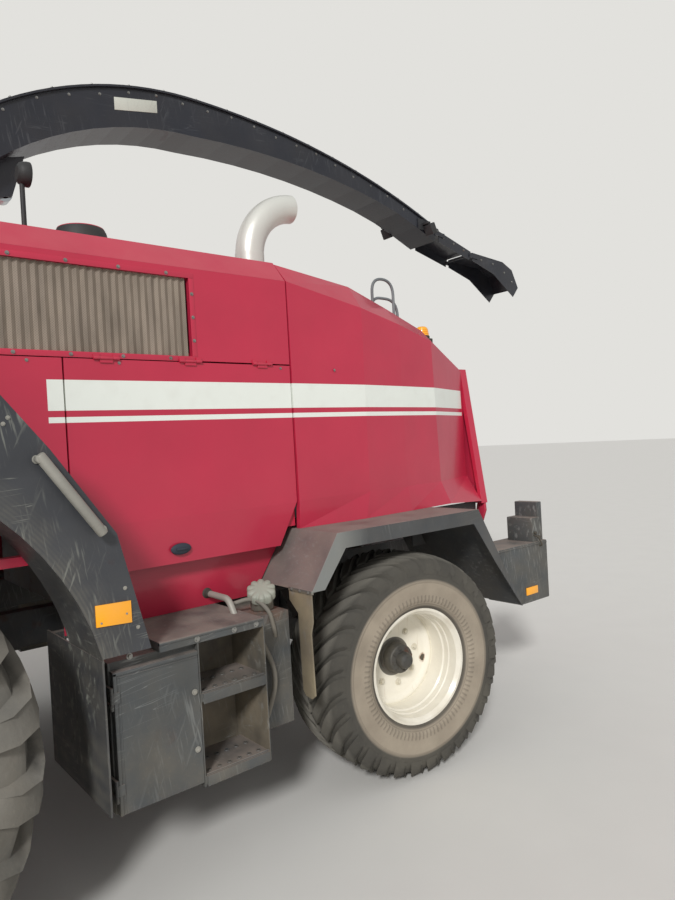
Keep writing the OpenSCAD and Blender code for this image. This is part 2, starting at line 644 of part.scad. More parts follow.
module rear_door() placed() color(red) {
  difference() {
    slab_y(rear_door_outline(0), rear_door_y0, rear_door_y1);
    slab_y(rear_door_outline(35), rear_door_y0 - 1, rear_door_y1 - panel_t);
    for (i = [0 : 8]) block([-680, rear_door_y0 - 2, 1510 + 90 * i], [680, rear_door_y1 + 2, 1550 + 90 * i]);
  }
  rear_hinges() hinge_moving(rear_hinge_len, 12, [-10, -30, 12, 0]);
}

exhaust_x = 520;
exhaust_y = -395;
pipe_r = 95;
pipe_wall = 5;
bend_r = 380;
bend_z = 3185;

// Pipe that stands on the engine, and the bend to the rear that slips into it
module exhaust_pipe() placed() color("#c9c8c2") {
  translate([exhaust_x, exhaust_y, engine_top_z + seat_gap]) difference() {
    cylinder(h = bend_z - engine_top_z + 25, r = pipe_r, $fn = 48);
    translate([0, 0, 250]) cylinder(h = bend_z, r = pipe_r - pipe_wall, $fn = 48);
  }
  translate([exhaust_x, exhaust_y + bend_r, bend_z]) rotate([90, 0, 90]) rotate([0, 0, 95])
    rotate_extrude(angle = 85, $fn = 64) translate([bend_r, 0]) difference() {
      circle(r = pipe_r - 2, $fn = 48);
      circle(r = pipe_r - pipe_wall - 2, $fn = 48);
    }
}

// Spout

spout_front_c = [spout_peak_y, spout_peak_z - spout_front_r];
spout_rear_c = [spout_peak_y, spout_peak_z - spout_rear_r];
spout_depth = 255;
spout_end_depth = 120;
spout_wall = 5;
base_z = ring_z + 96;
rear_turn = asin((flap_hinge_y - spout_peak_y) / spout_rear_r);
steps = 10;

// Angle on the front arc of radius r at station y
function front_angle(r, y) = 180 - acos((spout_front_c[0] - y) / r);

// Outline of the spout's side as [y, z]: back, then underside, set in by t.
// The foot is straight, then come the front arc and the flatter rear arc.
function spout_side(t) = concat(
  [[turret_y - 185 + t, base_z]],
  [for (i = [0 : steps]) let (r = spout_front_r - t, a = front_angle(r, -2000))
    spout_front_c + r * [cos(a + (90 - a) * i / steps), sin(a + (90 - a) * i / steps)]],
  [for (i = [1 : steps]) let (a = 90 - rear_turn * i / steps)
    spout_rear_c + (spout_rear_r - t) * [cos(a), sin(a)]],
  [for (i = [steps : -1 : 1]) let (a = 90 - rear_turn * i / steps,
      depth = spout_depth + (spout_end_depth - spout_depth) * min(1, i / steps * 1.3))
    spout_rear_c + (spout_rear_r - depth + t) * [cos(a), sin(a)]],
  [for (i = [steps : -1 : 0]) let (r = spout_front_r - spout_depth + t, a = front_angle(r, -1850))
    spout_front_c + r * [cos(a + (90 - a) * i / steps), sin(a + (90 - a) * i / steps)]],
  [[turret_y + 140 - t, base_z]]);

spout_hinge = [turret_y - 235, ring_z + 60];
spout_hinge_r = 16;
spout_foot = [turret_y + 260, ring_z + 58];
spout_eye = [-1750, 3500];
spout_pin_r = 14;
spout_drift = 12;
spout_barrel_len = 470;
lug_x = 38;
lug_t = 14;
flap_z = spout_rear_c[1] + spout_rear_r * cos(rear_turn);
flap_pin = [flap_hinge_y - 30, flap_z - 35];
flap_outer_y = 2380;
flap_outer_pin = [flap_outer_y - 32, 3665];
flap_pin_r = 8;

module turret() placed() color(black) {
  difference() {
    union() {
      translate([0, turret_y, ring_z + seat_gap]) cylinder(h = 24, r = ring_r, $fn = 64);
      translate([0, turret_y, ring_z + 10]) cylinder(h = 70, r = throat_r + 15, $fn = 64);
      both_sides() block([165, spout_hinge[0] - 35, ring_z + 5], [185, spout_hinge[0] + 120, spout_hinge[1] + 35]);
    }
    translate([0, turret_y, ring_z - 10]) cylinder(h = 200, r = throat_r, $fn = 64);
    pin_x(-300, 300, spout_hinge[0], spout_hinge[1], spout_hinge_r + run_gap);
  }
  both_sides() block([lug_x, spout_foot[0] - 70, ring_z + 5],
    [lug_x + lug_t, spout_foot[0] + 30, spout_foot[1] + 28]);
  pin_x(-lug_x - lug_t, lug_x + lug_t, spout_foot[0], spout_foot[1], spout_pin_r);
}

module spout_arm() placed() color(black) {
  difference() {
    slab_x(spout_side(0), -spout_half_w, spout_half_w);
    slab_x(spout_side(spout_wall), -spout_half_w + spout_wall, spout_half_w - spout_wall);
    block([-spout_half_w + spout_wall, turret_y - 175, base_z - 1], [spout_half_w - spout_wall, turret_y + 130, base_z + 9]);
    slab_x([[flap_hinge_y - 60, flap_z - 180], [flap_hinge_y - 12, flap_z - 6], [flap_hinge_y + 60, flap_z - 60]],
      -spout_half_w + spout_wall, spout_half_w - spout_wall);
  }
  both_sides() slab_x([[spout_hinge[0] - 28, spout_hinge[1] - 20], [spout_hinge[0] + 25, spout_hinge[1] - 20],
    [spout_hinge[0] + 60, base_z - 8], [turret_y + 60, base_z + 8], [turret_y - 30, base_z + 120],
    [spout_hinge[0] - 20, spout_hinge[1] + 25]], spout_half_w - 2, spout_half_w + 12);
  pin_x(-190, 190, spout_hinge[0], spout_hinge[1], spout_hinge_r);
  both_sides() slab_x([[spout_eye[0] - 30, spout_eye[1] - 30], [spout_eye[0] + 40, spout_eye[1] - 10],
    [spout_eye[0] + 120, spout_eye[1] + 240], [spout_eye[0] - 60, spout_eye[1] + 190]], lug_x, lug_x + lug_t);
  pin_x(-lug_x - lug_t, lug_x + lug_t, spout_eye[0], spout_eye[1], spout_pin_r);
  pin_x(-spout_half_w - 10, spout_half_w + 10, flap_pin[0], flap_pin[1], flap_pin_r);
}

// Two ears of a flap round a pin, outside the sides of the piece ahead
module flap_ears(pin, y1) both_sides() difference() {
  union() {
    slab_x([[pin[0] - 12, pin[1] - 16], [y1, pin[1] - 30], [y1, pin[1] + 10], [pin[0] - 12, pin[1] + 16]],
      spout_half_w + seat_gap, spout_half_w + 8);
    slab_x([[pin[0] + 56, pin[1] - 26], [y1, pin[1] - 30], [y1, pin[1] + 8], [pin[0] + 56, pin[1] + 10]],
      spout_half_w - 1, spout_half_w + 1);
  }
  pin_x(spout_half_w - 5, spout_half_w + 20, pin[0], pin[1], flap_pin_r + run_gap);
}

// Flaps: channels open below
module flap_inner() placed() color(black) {
  difference() {
    slab_x([[flap_hinge_y + 14, flap_z - 6], [flap_outer_y - 14, 3700], [flap_outer_y - 42, 3622],
      [flap_hinge_y + 14, flap_z - 110]], -spout_half_w, spout_half_w);
    slab_x([[flap_hinge_y - 2, flap_z - 8], [flap_outer_y + 2, 3690], [flap_outer_y + 2, 3490],
      [flap_hinge_y - 2, flap_z - 300]], -spout_half_w + spout_wall, spout_half_w - spout_wall);
  }
  flap_ears(flap_pin, flap_hinge_y + 90);
  pin_x(-spout_half_w - 10, spout_half_w + 10, flap_outer_pin[0], flap_outer_pin[1], flap_pin_r);
}

module flap_outer() placed() color(black) {
  difference() {
    slab_x([[flap_outer_y + 4, 3695], [2860, 3665], [3010, 3600], [spout_tip_y, 3430],
      [3010, 3330], [2700, 3530], [flap_outer_y + 4, 3620]], -spout_half_w, spout_half_w);
    slab_x([[flap_outer_y, 3689], [2855, 3659], [3006, 3594], [spout_tip_y - 7, 3430],
      [spout_tip_y, 3250], [flap_outer_y, 3250]], -spout_half_w + spout_wall, spout_half_w - spout_wall);
  }
  flap_ears(flap_outer_pin, flap_outer_y + 80);
}

module spout_barrel() placed() color(black) along(spout_foot, spout_eye, 0)
  cylinder_barrel(spout_barrel_len, 32, 20, lug_x - 2, spout_pin_r);

module spout_rod() placed() color("#b9bcbe") along(spout_foot, spout_eye, 0)
  cylinder_rod(spout_barrel_len - 200, norm(spout_eye - spout_foot), 20, lug_x - 2, spout_pin_r + spout_drift);

// Cab

cab_t = 45;

// Cab outline as [y, z], set in by t
function cab_side(t) = [[-4340 + t, cab_floor_z + t], [-4440 + t, cab_floor_z + 330], [-4290 + t, cab_top_z - t],
  [cab_back_y - t, cab_top_z - t], [cab_back_y - t, cab_floor_z + t]];

win_low = cab_floor_z + 240;
win_top = cab_top_z - 80;

module cab_windows(t) {
  // Windscreen
  slab_x([[-4600, win_low + t], [-4200, win_low + t], [-4200, win_top - t], [-4600, win_top - t]], -740 + t, 740 - t);
  // Rear window
  slab_x([[cab_back_y - 140, win_low + 290 + t], [cab_back_y + 60, win_low + 290 + t], [cab_back_y + 60, win_top - t],
    [cab_back_y - 140, win_top - t]], -640 + t, 640 - t);
  // Right side windows and the left quarter window
  slab_x([[-4330 + t, win_low + t], [-3560 - t, win_low + t], [-3560 - t, win_top - t], [-4220 + t, win_top - t],
    [-4330 + t, win_low + 190]], -900, -700);
  slab_x([[-3480 + t, win_low + t], [-3110 - t, win_low + t], [-3110 - t, win_top - t], [-3480 + t, win_top - t]], -900, -700);
  slab_x([[-3300 + t, win_low + t], [-3110 - t, win_low + t], [-3110 - t, win_top - t], [-3300 + t, win_top - t]], 700, 900);
}

cab_door_y0 = -4330;
cab_door_y1 = -3390;
cab_hinge_x = cab_half_w + 14;
cab_hinge_len = 100;
cab_hinge_zs = [cab_floor_z + 250, cab_top_z - 250];

function cab_door_outline(t) = [[cab_door_y0 + 40 + t, cab_floor_z + 60 + t], [cab_door_y1 - t, cab_floor_z + 60 + t],
  [cab_door_y1 - t, cab_top_z - 60 - t], [cab_door_y0 + 90 + t, cab_top_z - 60 - t], [cab_door_y0 - 20 + t, cab_floor_z + 340]];

module cab_frame() placed() color(black) {
  difference() {
    slab_x(cab_side(0), -cab_half_w, cab_half_w);
    slab_x(cab_side(cab_t), -cab_half_w + cab_t, cab_half_w - cab_t);
    cab_windows(0);
    slab_x(cab_door_outline(0), 700, 900);
  }
  for (z = cab_hinge_zs) translate([cab_hinge_x, cab_door_y1 - 3, z]) hinge_fixed(cab_hinge_len, 12, [-15, 0, 0, 40]);
}

module cab_glass() placed() color([0.6, 0.75, 0.8, 0.4]) intersection() {
  difference() {
    slab_x(cab_side(16), -cab_half_w + 16, cab_half_w - 16);
    slab_x(cab_side(22), -cab_half_w + 22, cab_half_w - 22);
  }
  cab_windows(seat_gap);
}

module cab_door() placed() color(black) {
  difference() {
    slab_x(cab_door_outline(6), cab_half_w - 40, cab_half_w);
    slab_x(cab_door_outline(66), cab_half_w - 60, cab_half_w + 20);
  }
  for (z = cab_hinge_zs) translate([cab_hinge_x, cab_door_y1 - 3, z]) hinge_moving(cab_hinge_len, 12, [-15, -40, 0, 0]);
}

module cab_door_glass() placed() color([0.6, 0.75, 0.8, 0.4])
  slab_x(cab_door_outline(66 + seat_gap), cab_half_w - 22, cab_half_w - 16);

roof_z = cab_top_z + seat_gap;

module cab_roof() placed() color(red)
  slab_x([[-4540, roof_z], [-4560, roof_z + 60], [-4440, roof_z + 170], [-3100, roof_z + 170],
    [cab_back_y + 15, roof_z + 100], [cab_back_y + 20, roof_z]], -cab_half_w - 40, cab_half_w + 40);

cab_in_z = cab_floor_z + cab_t + seat_gap;

module cab_seat() placed() color("#2c2d30") {
  block([-150, -3750, cab_in_z], [150, -3450, cab_in_z + 260]);
  block([-240, -3830, cab_in_z + 259], [240, -3330, cab_in_z + 380]);
  slab_x([[-3400, cab_in_z + 379], [-3330, cab_in_z + 379], [-3200, cab_in_z + 1010], [-3290, cab_in_z + 1010]], -230, 230);
}

module cab_console() placed() color("#2c2d30") {
  block([-80, -4240, cab_in_z], [80, -4120, cab_in_z + 60]);
  bar([0, -4180, cab_in_z + 50], [0, -4060, cab_in_z + 700], 45);
  translate([0, -4060, cab_in_z + 700]) rotate([-25, 0, 0]) cylinder(h = 26, r = 200, $fn = 48);
  block([-480, -3900, cab_in_z], [-300, -3300, cab_in_z + 520]);
}

// Outer plates

guard_x = 1660;
guard_t = 6;
guard_r = 1150;

// Mudguard over each front wheel: side plate, arched liner, rear flap, handle
module front_mudguards() placed() color(black) both_sides() {
  c = [-wheelbase, axle_z];
  slab_x(concat([[-1720, 1158], [-1834, 1636], [-2068, 1980], [-2228, 2184], [-2330, 2250], [-3050, 2250], [-3220, 2052]],
    arc(c, guard_r - 50, 98, 62, 8), arc(c, guard_r, 60, 13, 8)), guard_x - guard_t, guard_x);
  slab_x(concat(arc(c, guard_r + 4, 98, 150, 10), arc(c, guard_r - 60, 150, 96, 10)), guard_x - guard_t, guard_x);
  slab_x(concat(arc(c, guard_r + 4, 12, 51, 10), arc(c, guard_r, 51, 12, 10)), hood_half_w + 12, guard_x - 5);
  slab_x(concat(arc(c, guard_r + 4, 50, 150, 18), arc(c, guard_r, 150, 50, 18)), 900, guard_x - 5);
  block([960, -1921, 540], [guard_x - 5, -1913, 1150]);
  // Brackets to the cab's side and to the platform
  block([cab_half_w + seat_gap, -3150, 2020], [905, -3050, 2052]);
  block([1000, -1914, 1112], [1040, platform_y0 - seat_gap, 1148]);
  slab_x([[-2135, 1955], [-2105, 1965], [-1890, 1655], [-1915, 1640]], guard_x + 30, guard_x + 55);
  for (at = [[-2118, 1945], [-1908, 1665]]) pin_x(guard_x - 3, guard_x + 31, at[0], at[1], 11);
}

step_y0 = -1480;
step_y1 = -1140;
platform_z = 1150;
platform_y0 = -1660;
platform_x = 1600;
box_y0 = -1870;
box_x1 = platform_x - 32;

// Platforms on the outriggers, each with steps below and a box beside them.
// The left box is open for its door.
module side_platforms() placed() color(black) {
  both_sides() {
    block([1000, platform_y0, platform_z - 39.7], [platform_x, step_y1, platform_z]);
    for (y = [step_y0 - 6, step_y1 - 6]) block([1300, y, 480], [platform_x, y + 6, platform_z - 1]);
    for (z = [490, 850]) block([1340, step_y0 - 1, z], [platform_x, step_y1 - 5, z + 36]);
    block([1300, step_y0 - 1, 480], [1306, step_y1 - 5, platform_z - 1]);
  }
  difference() {
    both_sides() block([1300, box_y0, 500], [box_x1, step_y0 - 1, 1111]);
    block([1306, box_y0 + 6, 506], [box_x1 + 10, step_y0 - 7, 1074]);
  }
  for (z = box_hinge_zs) translate([box_hinge_x, box_hinge_y, z]) hinge_fixed(90, 7, [-60, -6, 0, 5]);
}

box_hinge_x = platform_x + 6;
box_hinge_y = box_y0 - 4;
box_hinge_zs = [560, 930];

module toolbox_door() placed() color(black) {
  block([box_x1 + seat_gap, box_y0 + 6, 502], [platform_x, step_y0 - 8, 1078]);
  for (z = box_hinge_zs) translate([box_hinge_x, box_hinge_y, z]) hinge_moving(90, 7, [-7, 0, 0, 34]);
}

module fuel_tanks() placed() color(black) both_sides()
  block([tank_x, -1120, 540], [1430, -880, 1108]);

fender_x = 1600;
fender_t = 6;

// Plate bent over each rear wheel with a lip down its outer edge
function fender_line(t) = [[870, 814 - t * 0.1], [650 - t * 0.4, 1180 - t * 0.6], [470 - t * 0.6, ledge_z - t],
  [-666 + t * 0.6, ledge_z - t], [-850 + t, 1210]];

module rear_fenders() placed() color(black) both_sides() {
  slab_x(concat(fender_line(0), flip(fender_line(fender_t))), 780, fender_x);
  slab_x(concat(fender_line(0), flip(fender_line(84))), fender_x - fender_t, fender_x);
}

module rear_boxes() placed() color(black) both_sides() {
  block([box_x, 1010, 680], [1300, 1640, 1120]);
  block([box_x + 60, 1030, 1119], [1290, 1610, 1420]);
}

module mirrors() placed() color(black) both_sides() {
  x = cab_half_w + 40 + seat_gap;
  block([x, -4430, roof_z + 40], [x + 12, -4370, roof_z + 100]);
  bar([x + 8, -4400, roof_z + 70], [1250, -4480, roof_z - 20], 14);
  block([1180, -4500, roof_z - 430], [1400, -4460, roof_z - 10]);
}

chassis_frame();
frame_supports();
front_axle();
rear_axle();
engine_block();
chopper_housing();
front_rim(1);  // front_rim_left
front_rim(-1);  // front_rim_right
front_tyre(1);  // front_tyre_left
front_tyre(-1);  // front_tyre_right
rear_rim(1);  // rear_rim_left
rear_rim(-1);  // rear_rim_right
rear_tyre(1);  // rear_tyre_left
rear_tyre(-1);  // rear_tyre_right
knuckle(1);  // knuckle_left
knuckle(-1);  // knuckle_right
tie_rod();
feed_housing();
feed_roll_upper();
feed_roll_lower();
lift_barrels();
lift_rods();
hood_side_panels();
intake_grilles();
roof_front();
rear_hood();
rear_door();
side_door(1);  // side_door_left
side_door(-1);  // side_door_right
exhaust_pipe();
turret();
spout_arm();
flap_inner();
flap_outer();
spout_barrel();
spout_rod();
cab_frame();
cab_roof();
cab_glass();
cab_door();
cab_door_glass();
cab_seat();
cab_console();
front_mudguards();
side_platforms();
toolbox_door();
fuel_tanks();
rear_fenders();
rear_boxes();
mirrors();
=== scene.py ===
"""Looks of a self-propelled forage harvester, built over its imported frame.

Lengths are in metres in the frame's own axes: the front points to -Y, the left
side to +X. Stations of the source are measured from the rear axle, and the
function at() moves them to the frame's origin.
"""

from __future__ import annotations

import json
import logging
import math
from dataclasses import dataclass
from enum import Enum
from typing import Iterable, Sequence

import bmesh
import bpy
from mathutils import Matrix, Vector

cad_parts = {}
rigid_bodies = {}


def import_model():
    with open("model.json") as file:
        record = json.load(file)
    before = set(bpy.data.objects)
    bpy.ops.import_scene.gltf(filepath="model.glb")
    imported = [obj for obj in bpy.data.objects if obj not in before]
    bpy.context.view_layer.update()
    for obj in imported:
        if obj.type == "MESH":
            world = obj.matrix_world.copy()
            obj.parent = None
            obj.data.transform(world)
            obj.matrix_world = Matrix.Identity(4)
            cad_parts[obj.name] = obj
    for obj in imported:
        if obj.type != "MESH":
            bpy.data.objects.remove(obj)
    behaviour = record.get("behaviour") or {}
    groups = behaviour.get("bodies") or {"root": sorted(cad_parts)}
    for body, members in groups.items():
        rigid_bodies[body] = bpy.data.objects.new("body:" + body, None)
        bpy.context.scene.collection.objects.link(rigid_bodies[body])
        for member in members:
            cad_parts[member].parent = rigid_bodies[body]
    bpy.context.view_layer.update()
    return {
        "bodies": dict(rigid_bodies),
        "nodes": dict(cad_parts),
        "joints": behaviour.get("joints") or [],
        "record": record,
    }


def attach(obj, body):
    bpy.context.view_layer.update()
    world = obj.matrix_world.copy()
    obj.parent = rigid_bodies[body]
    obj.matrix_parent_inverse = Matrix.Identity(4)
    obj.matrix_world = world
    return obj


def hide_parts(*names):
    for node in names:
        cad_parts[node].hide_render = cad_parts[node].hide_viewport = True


LOG = logging.getLogger("harvester")
AXLE_Y = 0.925
UP = (0, 0, 1)
OUT = (1, 0, 0)
Point = tuple[float, float, float]
Station = tuple[float, float]
Coords = Sequence[float]


class Side(Enum):
    """The two sides of the machine, as the sign of X."""

    LEFT = 1
    RIGHT = -1


class Axis(Enum):
    """Axes that a cross-section is extruded along."""

    X = 0
    Y = 1
    Z = 2


def at(x: float, y: float, z: float) -> Point:
    """Moves a point given by its station behind the rear axle into the frame."""
    return (x, y + AXLE_Y, z)


def moved(x: float, y: float, z: float) -> Matrix:
    """The move to a point given by its station."""
    return Matrix.Translation(at(x, y, z))


def stations(points: Iterable[Coords]) -> list[Station]:
    """Moves outline points of (station, height) into the frame."""
    return [(y + AXLE_Y, z) for y, z in points]


def linear(code: str) -> tuple[float, float, float, float]:
    """Turns a colour as it looks, in hexadecimal, into the shader's numbers."""
    parts = [int(code[i : i + 2], 16) / 255 for i in (0, 2, 4)]
    flat = [p / 12.92 if p <= 0.04045 else ((p + 0.055) / 1.055) ** 2.4 for p in parts]
    return (flat[0], flat[1], flat[2], 1.0)


# Materials


class Socket:
    """A node's output that maths can be written on."""

    def __init__(self, nodes: Nodes, out: bpy.types.NodeSocket) -> None:
        """Keeps the output and the tree that it belongs to."""
        self.nodes = nodes
        self.out = out

    def _math(self, operation: str, *values: Socket | float) -> Socket:
        """Adds a Math node on the given values."""
        return self.nodes.add("Math", {"operation": operation}, dict(enumerate(values)))

    def __add__(self, other: Socket | float) -> Socket:
        """Sum."""
        return self._math("ADD", self, other)

    def __sub__(self, other: Socket | float) -> Socket:
        """Difference."""
        return self._math("SUBTRACT", self, other)

    def __rsub__(self, other: float) -> Socket:
        """Difference from a number."""
        return self._math("SUBTRACT", other, self)

    def __mul__(self, other: Socket | float) -> Socket:
        """Product."""
        return self._math("MULTIPLY", self, other)

    __radd__ = __add__
    __rmul__ = __mul__

    def abs(self) -> Socket:
        """Size without its sign."""
        return self._math("ABSOLUTE", self)

    def largest(self, other: Socket | float) -> Socket:
        """The larger of two values."""
        return self._math("MAXIMUM", self, other)

    def wave(self) -> Socket:
        """Sine."""
        return self._math("SINE", self)

    def root(self) -> Socket:
        """Square root."""
        return self._math("SQRT", self)

    def turn(self, other: Socket) -> Socket:
        """Angle of the point (other, self) round the origin."""
        return self._math("ARCTAN2", self, other)

    def ramp(self, low: float, high: float) -> Socket:
        """Rises from 0 at low to 1 at high, and falls where low is the larger."""
        values = {"Value": self, "From Min": low, "From Max": high}
        return self.nodes.add("MapRange", {"clamp": True}, values)

    def band(self, low: float, high: float, soft: float) -> Socket:
        """1 between low and high, with edges that fade over a width of soft."""
        return self.ramp(low - soft, low) * self.ramp(high + soft, high)

    def ring(self, middle: float, wide: float, narrow: float) -> Socket:
        """1 within narrow of a middle value, fading to 0 at wide."""
        return (self - middle).abs().ramp(wide, narrow)


def distance(a: Socket, b: Socket) -> Socket:
    """Length of the flat vector (a, b)."""
    return (a * a + b * b).root()


class Nodes:
    """The node tree of one material."""

    def __init__(self, name: str) -> None:
        """Starts an empty material of that name."""
        self.material = bpy.data.materials.new(name)
        self.material.use_nodes = True
        self.tree = self.material.node_tree
        self.tree.nodes.clear()

    def node(self, kind: str, settings: dict, sockets: dict) -> bpy.types.Node:
        """Adds a node, with its settings first and then its sockets.

        Args:
            kind: The node's type without "ShaderNode".
            settings: Attributes of the node.
            sockets: Values or links by the socket's name or number.

        Returns:
            The node.
        """
        made = self.tree.nodes.new("ShaderNode" + kind)
        for key, value in settings.items():
            setattr(made, key, value)
        for key, value in sockets.items():
            if isinstance(value, Socket):
                self.tree.links.new(value.out, made.inputs[key])
            else:
                made.inputs[key].default_value = value
        return made

    def add(self, kind: str, settings: dict, sockets: dict, out: int | str = 0) -> Socket:
        """Adds a node as node() does and returns one of its outputs."""
        return Socket(self, self.node(kind, settings, sockets).outputs[out])

    def seen(
        self, centre: Point = (0, 0, 0), turn: Point = (0, 0, 0), stretch: Point = (1, 1, 1)
    ) -> Socket:
        """Object coordinates from a centre, in turned axes, stretched last."""
        place = self.add("TexCoord", {}, {}, "Object")
        scale = tuple(1 / s for s in stretch)
        sockets = {"Vector": place, "Location": centre, "Rotation": turn, "Scale": scale}
        return self.add("Mapping", {"vector_type": "TEXTURE"}, sockets)

    def apart(self, vector: Socket) -> tuple[Socket, Socket, Socket]:
        """The three parts of a vector."""
        parts = self.node("SeparateXYZ", {}, {0: vector})
        return tuple(Socket(self, o) for o in parts.outputs)

    def axes(self) -> tuple[Socket, Socket, Socket]:
        """The three object coordinates apart, which are the frame's own."""
        return self.apart(self.add("TexCoord", {}, {}, "Object"))

    def upward(self) -> Socket:
        """How far the surface looks up, from -1 to 1."""
        return self.apart(self.add("TexCoord", {}, {}, "Normal"))[2]

    def noise(
        self,
        scale: float,
        detail: float = 3.0,
        stretch: Point = (1, 1, 1),
        turn: Point = (0, 0, 0),
    ) -> Socket:
        """Noise from 0 to 1 on object coordinates.

        Args:
            scale: Blotches to a metre.
            detail: Finer octaves.
            stretch: Factors on each turned axis, large where the noise is fine.
            turn: Turn of the axes in radians.

        Returns:
            The noise.
        """
        sockets = {"Vector": self.seen(turn=turn, stretch=stretch)}
        return self.add("TexNoise", {}, sockets | {"Scale": scale, "Detail": detail})

    def patches(self, scale: float, detail: float, low: float, high: float) -> Socket:
        """Patches of noise that rise from 0 at low to 1 at high."""
        return self.noise(scale, detail).ramp(low, high)

    def mix(self, share: Socket | float, low: Socket | str, high: Socket | str) -> Socket:
        """Mixes two colours, each from a node or in hexadecimal."""
        low, high = (linear(c) if isinstance(c, str) else c for c in (low, high))
        return self.add("Mix", {"data_type": "RGBA"}, {0: share, 6: low, 7: high}, 2)

    def finish(self, sockets: dict, height: Socket, depth: float) -> bpy.types.Material:
        """Closes the tree with a Principled shader.

        Args:
            sockets: Numbers and links of the shader's sockets.
            height: Height of the relief.
            depth: Relief in metres.

        Returns:
            The material.
        """
        bump = self.add("Bump", {}, {"Height": height, "Distance": depth})
        shader = self.add("BsdfPrincipled", {}, sockets | {"Normal": bump})
        self.node("OutputMaterial", {}, {"Surface": shader})
        return self.material


@dataclass(frozen=True)
class Finish:
    """A surface with its own grain, wear and dirt.

    Shares run from 0 to 1, scales are to a metre and depths in metres.
    """

    name: str
    colour: str
    roughness: float = 0.5
    metallic: float = 0.0
    coat: float = 0.0
    mottle: float = 0.12
    grain: float = 60.0
    grain_depth: float = 0.0006
    dust: float = 0.25
    dust_colour: str = "8d8069"
    dust_top: float = 1.4
    settle: float = 0.0
    settle_colour: str = "8b7f76"
    scratch: float = 0.0
    scratch_colour: str = "8b8d8c"
    rust: float = 0.0

    def base(self, n: Nodes) -> Socket:
        """The colour before dirt and wear."""
        plain = linear(self.colour)[:3]
        lighter = 0.01 * self.mottle
        pale = tuple(min(1.0, c * (1 + self.mottle) + lighter) for c in plain)
        deep = tuple(c * (1 - self.mottle) for c in plain)
        return n.mix(n.patches(3.0, 4.0, 0.3, 0.7), (*deep, 1), (*pale, 1))

    def relief(self, n: Nodes) -> Socket:
        """The fine height of the surface."""
        return n.noise(self.grain, 4.0)

    def marks(self, n: Nodes) -> Socket:
        """Rubs and thin scratches in patches, upright ones and a few level ones."""
        patch = n.patches(2.6, 4.0, 0.42, 0.62)
        upright = n.noise(9.0, 5.0, (4, 10, 0.8), (0.16, 0, 0)).ramp(0.57, 0.68)
        slanted = n.noise(8.0, 3.0, (3, 7, 0.7), (-0.42, 0, 0)).ramp(0.63, 0.70)
        level = n.noise(5.0, 2.0, (0.5, 0.35, 6), (0.10, 0, 0)).ring(0.5, 0.010, 0.004)
        broken = n.patches(3.4, 2.0, 0.54, 0.60)
        return (upright * patch).largest(slanted * patch * 0.8).largest(level * broken * 0.8)

    def material(self) -> bpy.types.Material:
        """Builds the finish with its scratches, rust, dust and settled dirt.

        Returns:
            The material.
        """
        n = Nodes(self.name)
        colour = self.base(n)
        rough: Socket | float = self.roughness
        if self.scratch:
            thin = self.marks(n)
            colour = n.mix(thin * self.scratch, colour, self.scratch_colour)
            rough = thin * 0.15 + rough
        if self.rust:
            more = 0.1 * self.rust
            worn = n.patches(9.0, 7.0, 0.66 - more, 0.74 - more)
            stain = n.mix(n.noise(40.0), "4a2413", "8a4a22")
            colour = n.mix(worn * min(1.0, self.rust * 1.5), colour, stain)
            rough = worn * (0.85 - self.roughness) + rough
        low = n.axes()[2].ramp(self.dust_top, 0.1)
        cover = n.patches(5.0, 6.0, 0.3, 0.75) * (low * 0.8 + 0.2) * self.dust
        cover = cover + n.patches(70.0, 2.0, 0.6, 0.75) * low * (self.dust * 0.4)
        colour = n.mix(cover, colour, self.dust_colour)
        if self.settle:
            lying = n.upward().ramp(0.35, 0.9) * n.patches(6.0, 6.0, 0.2, 0.6) * self.settle
            colour = n.mix(lying, colour, self.settle_colour)
            cover = cover.largest(lying)
        sockets = {
            "Base Color": colour,
            "Roughness": cover * (0.9 - self.roughness) + rough,
            "Metallic": self.metallic,
            "Coat Weight": self.coat,
            "Coat Roughness": 0.12,
        }
        return n.finish(sockets, self.relief(n), self.grain_depth)


@dataclass(frozen=True)
class StripedPaint(Finish):
    """Hood paint with two pale stripes along the sides."""

    stripe: str = "eef2ea"
    stripe_dirt: str = "c9c4b8"
    wide: Station = (2.150, 2.284)
    thin: Station = (2.097, 2.121)
    front: float = -1.945 + AXLE_Y
    rear: float = 1.17 + AXLE_Y
    inner: float = 0.86
    soft: float = 0.001

    def base(self, n: Nodes) -> Socket:
        """Paint, with the stripes from the front panel to the rear edge."""
        x, y, z = n.axes()
        share = z.band(*self.wide, self.soft).largest(z.band(*self.thin, self.soft))
        share = share * y.ramp(self.front, self.front + self.soft)
        share = share * y.ramp(self.rear, self.rear - self.soft)
        share = share * x.abs().ramp(self.inner, self.inner + self.soft)
        dirt = n.patches(11.0, 6.0, 0.5, 0.8) * 0.15
        return n.mix(share, super().base(n), n.mix(dirt, self.stripe, self.stripe_dirt))

    def relief(self, n: Nodes) -> Socket:
        """Slow waves of thin sheet under a fine orange peel."""
        return n.noise(self.grain, 2.0) + n.noise(420.0, 1.0) * 0.03


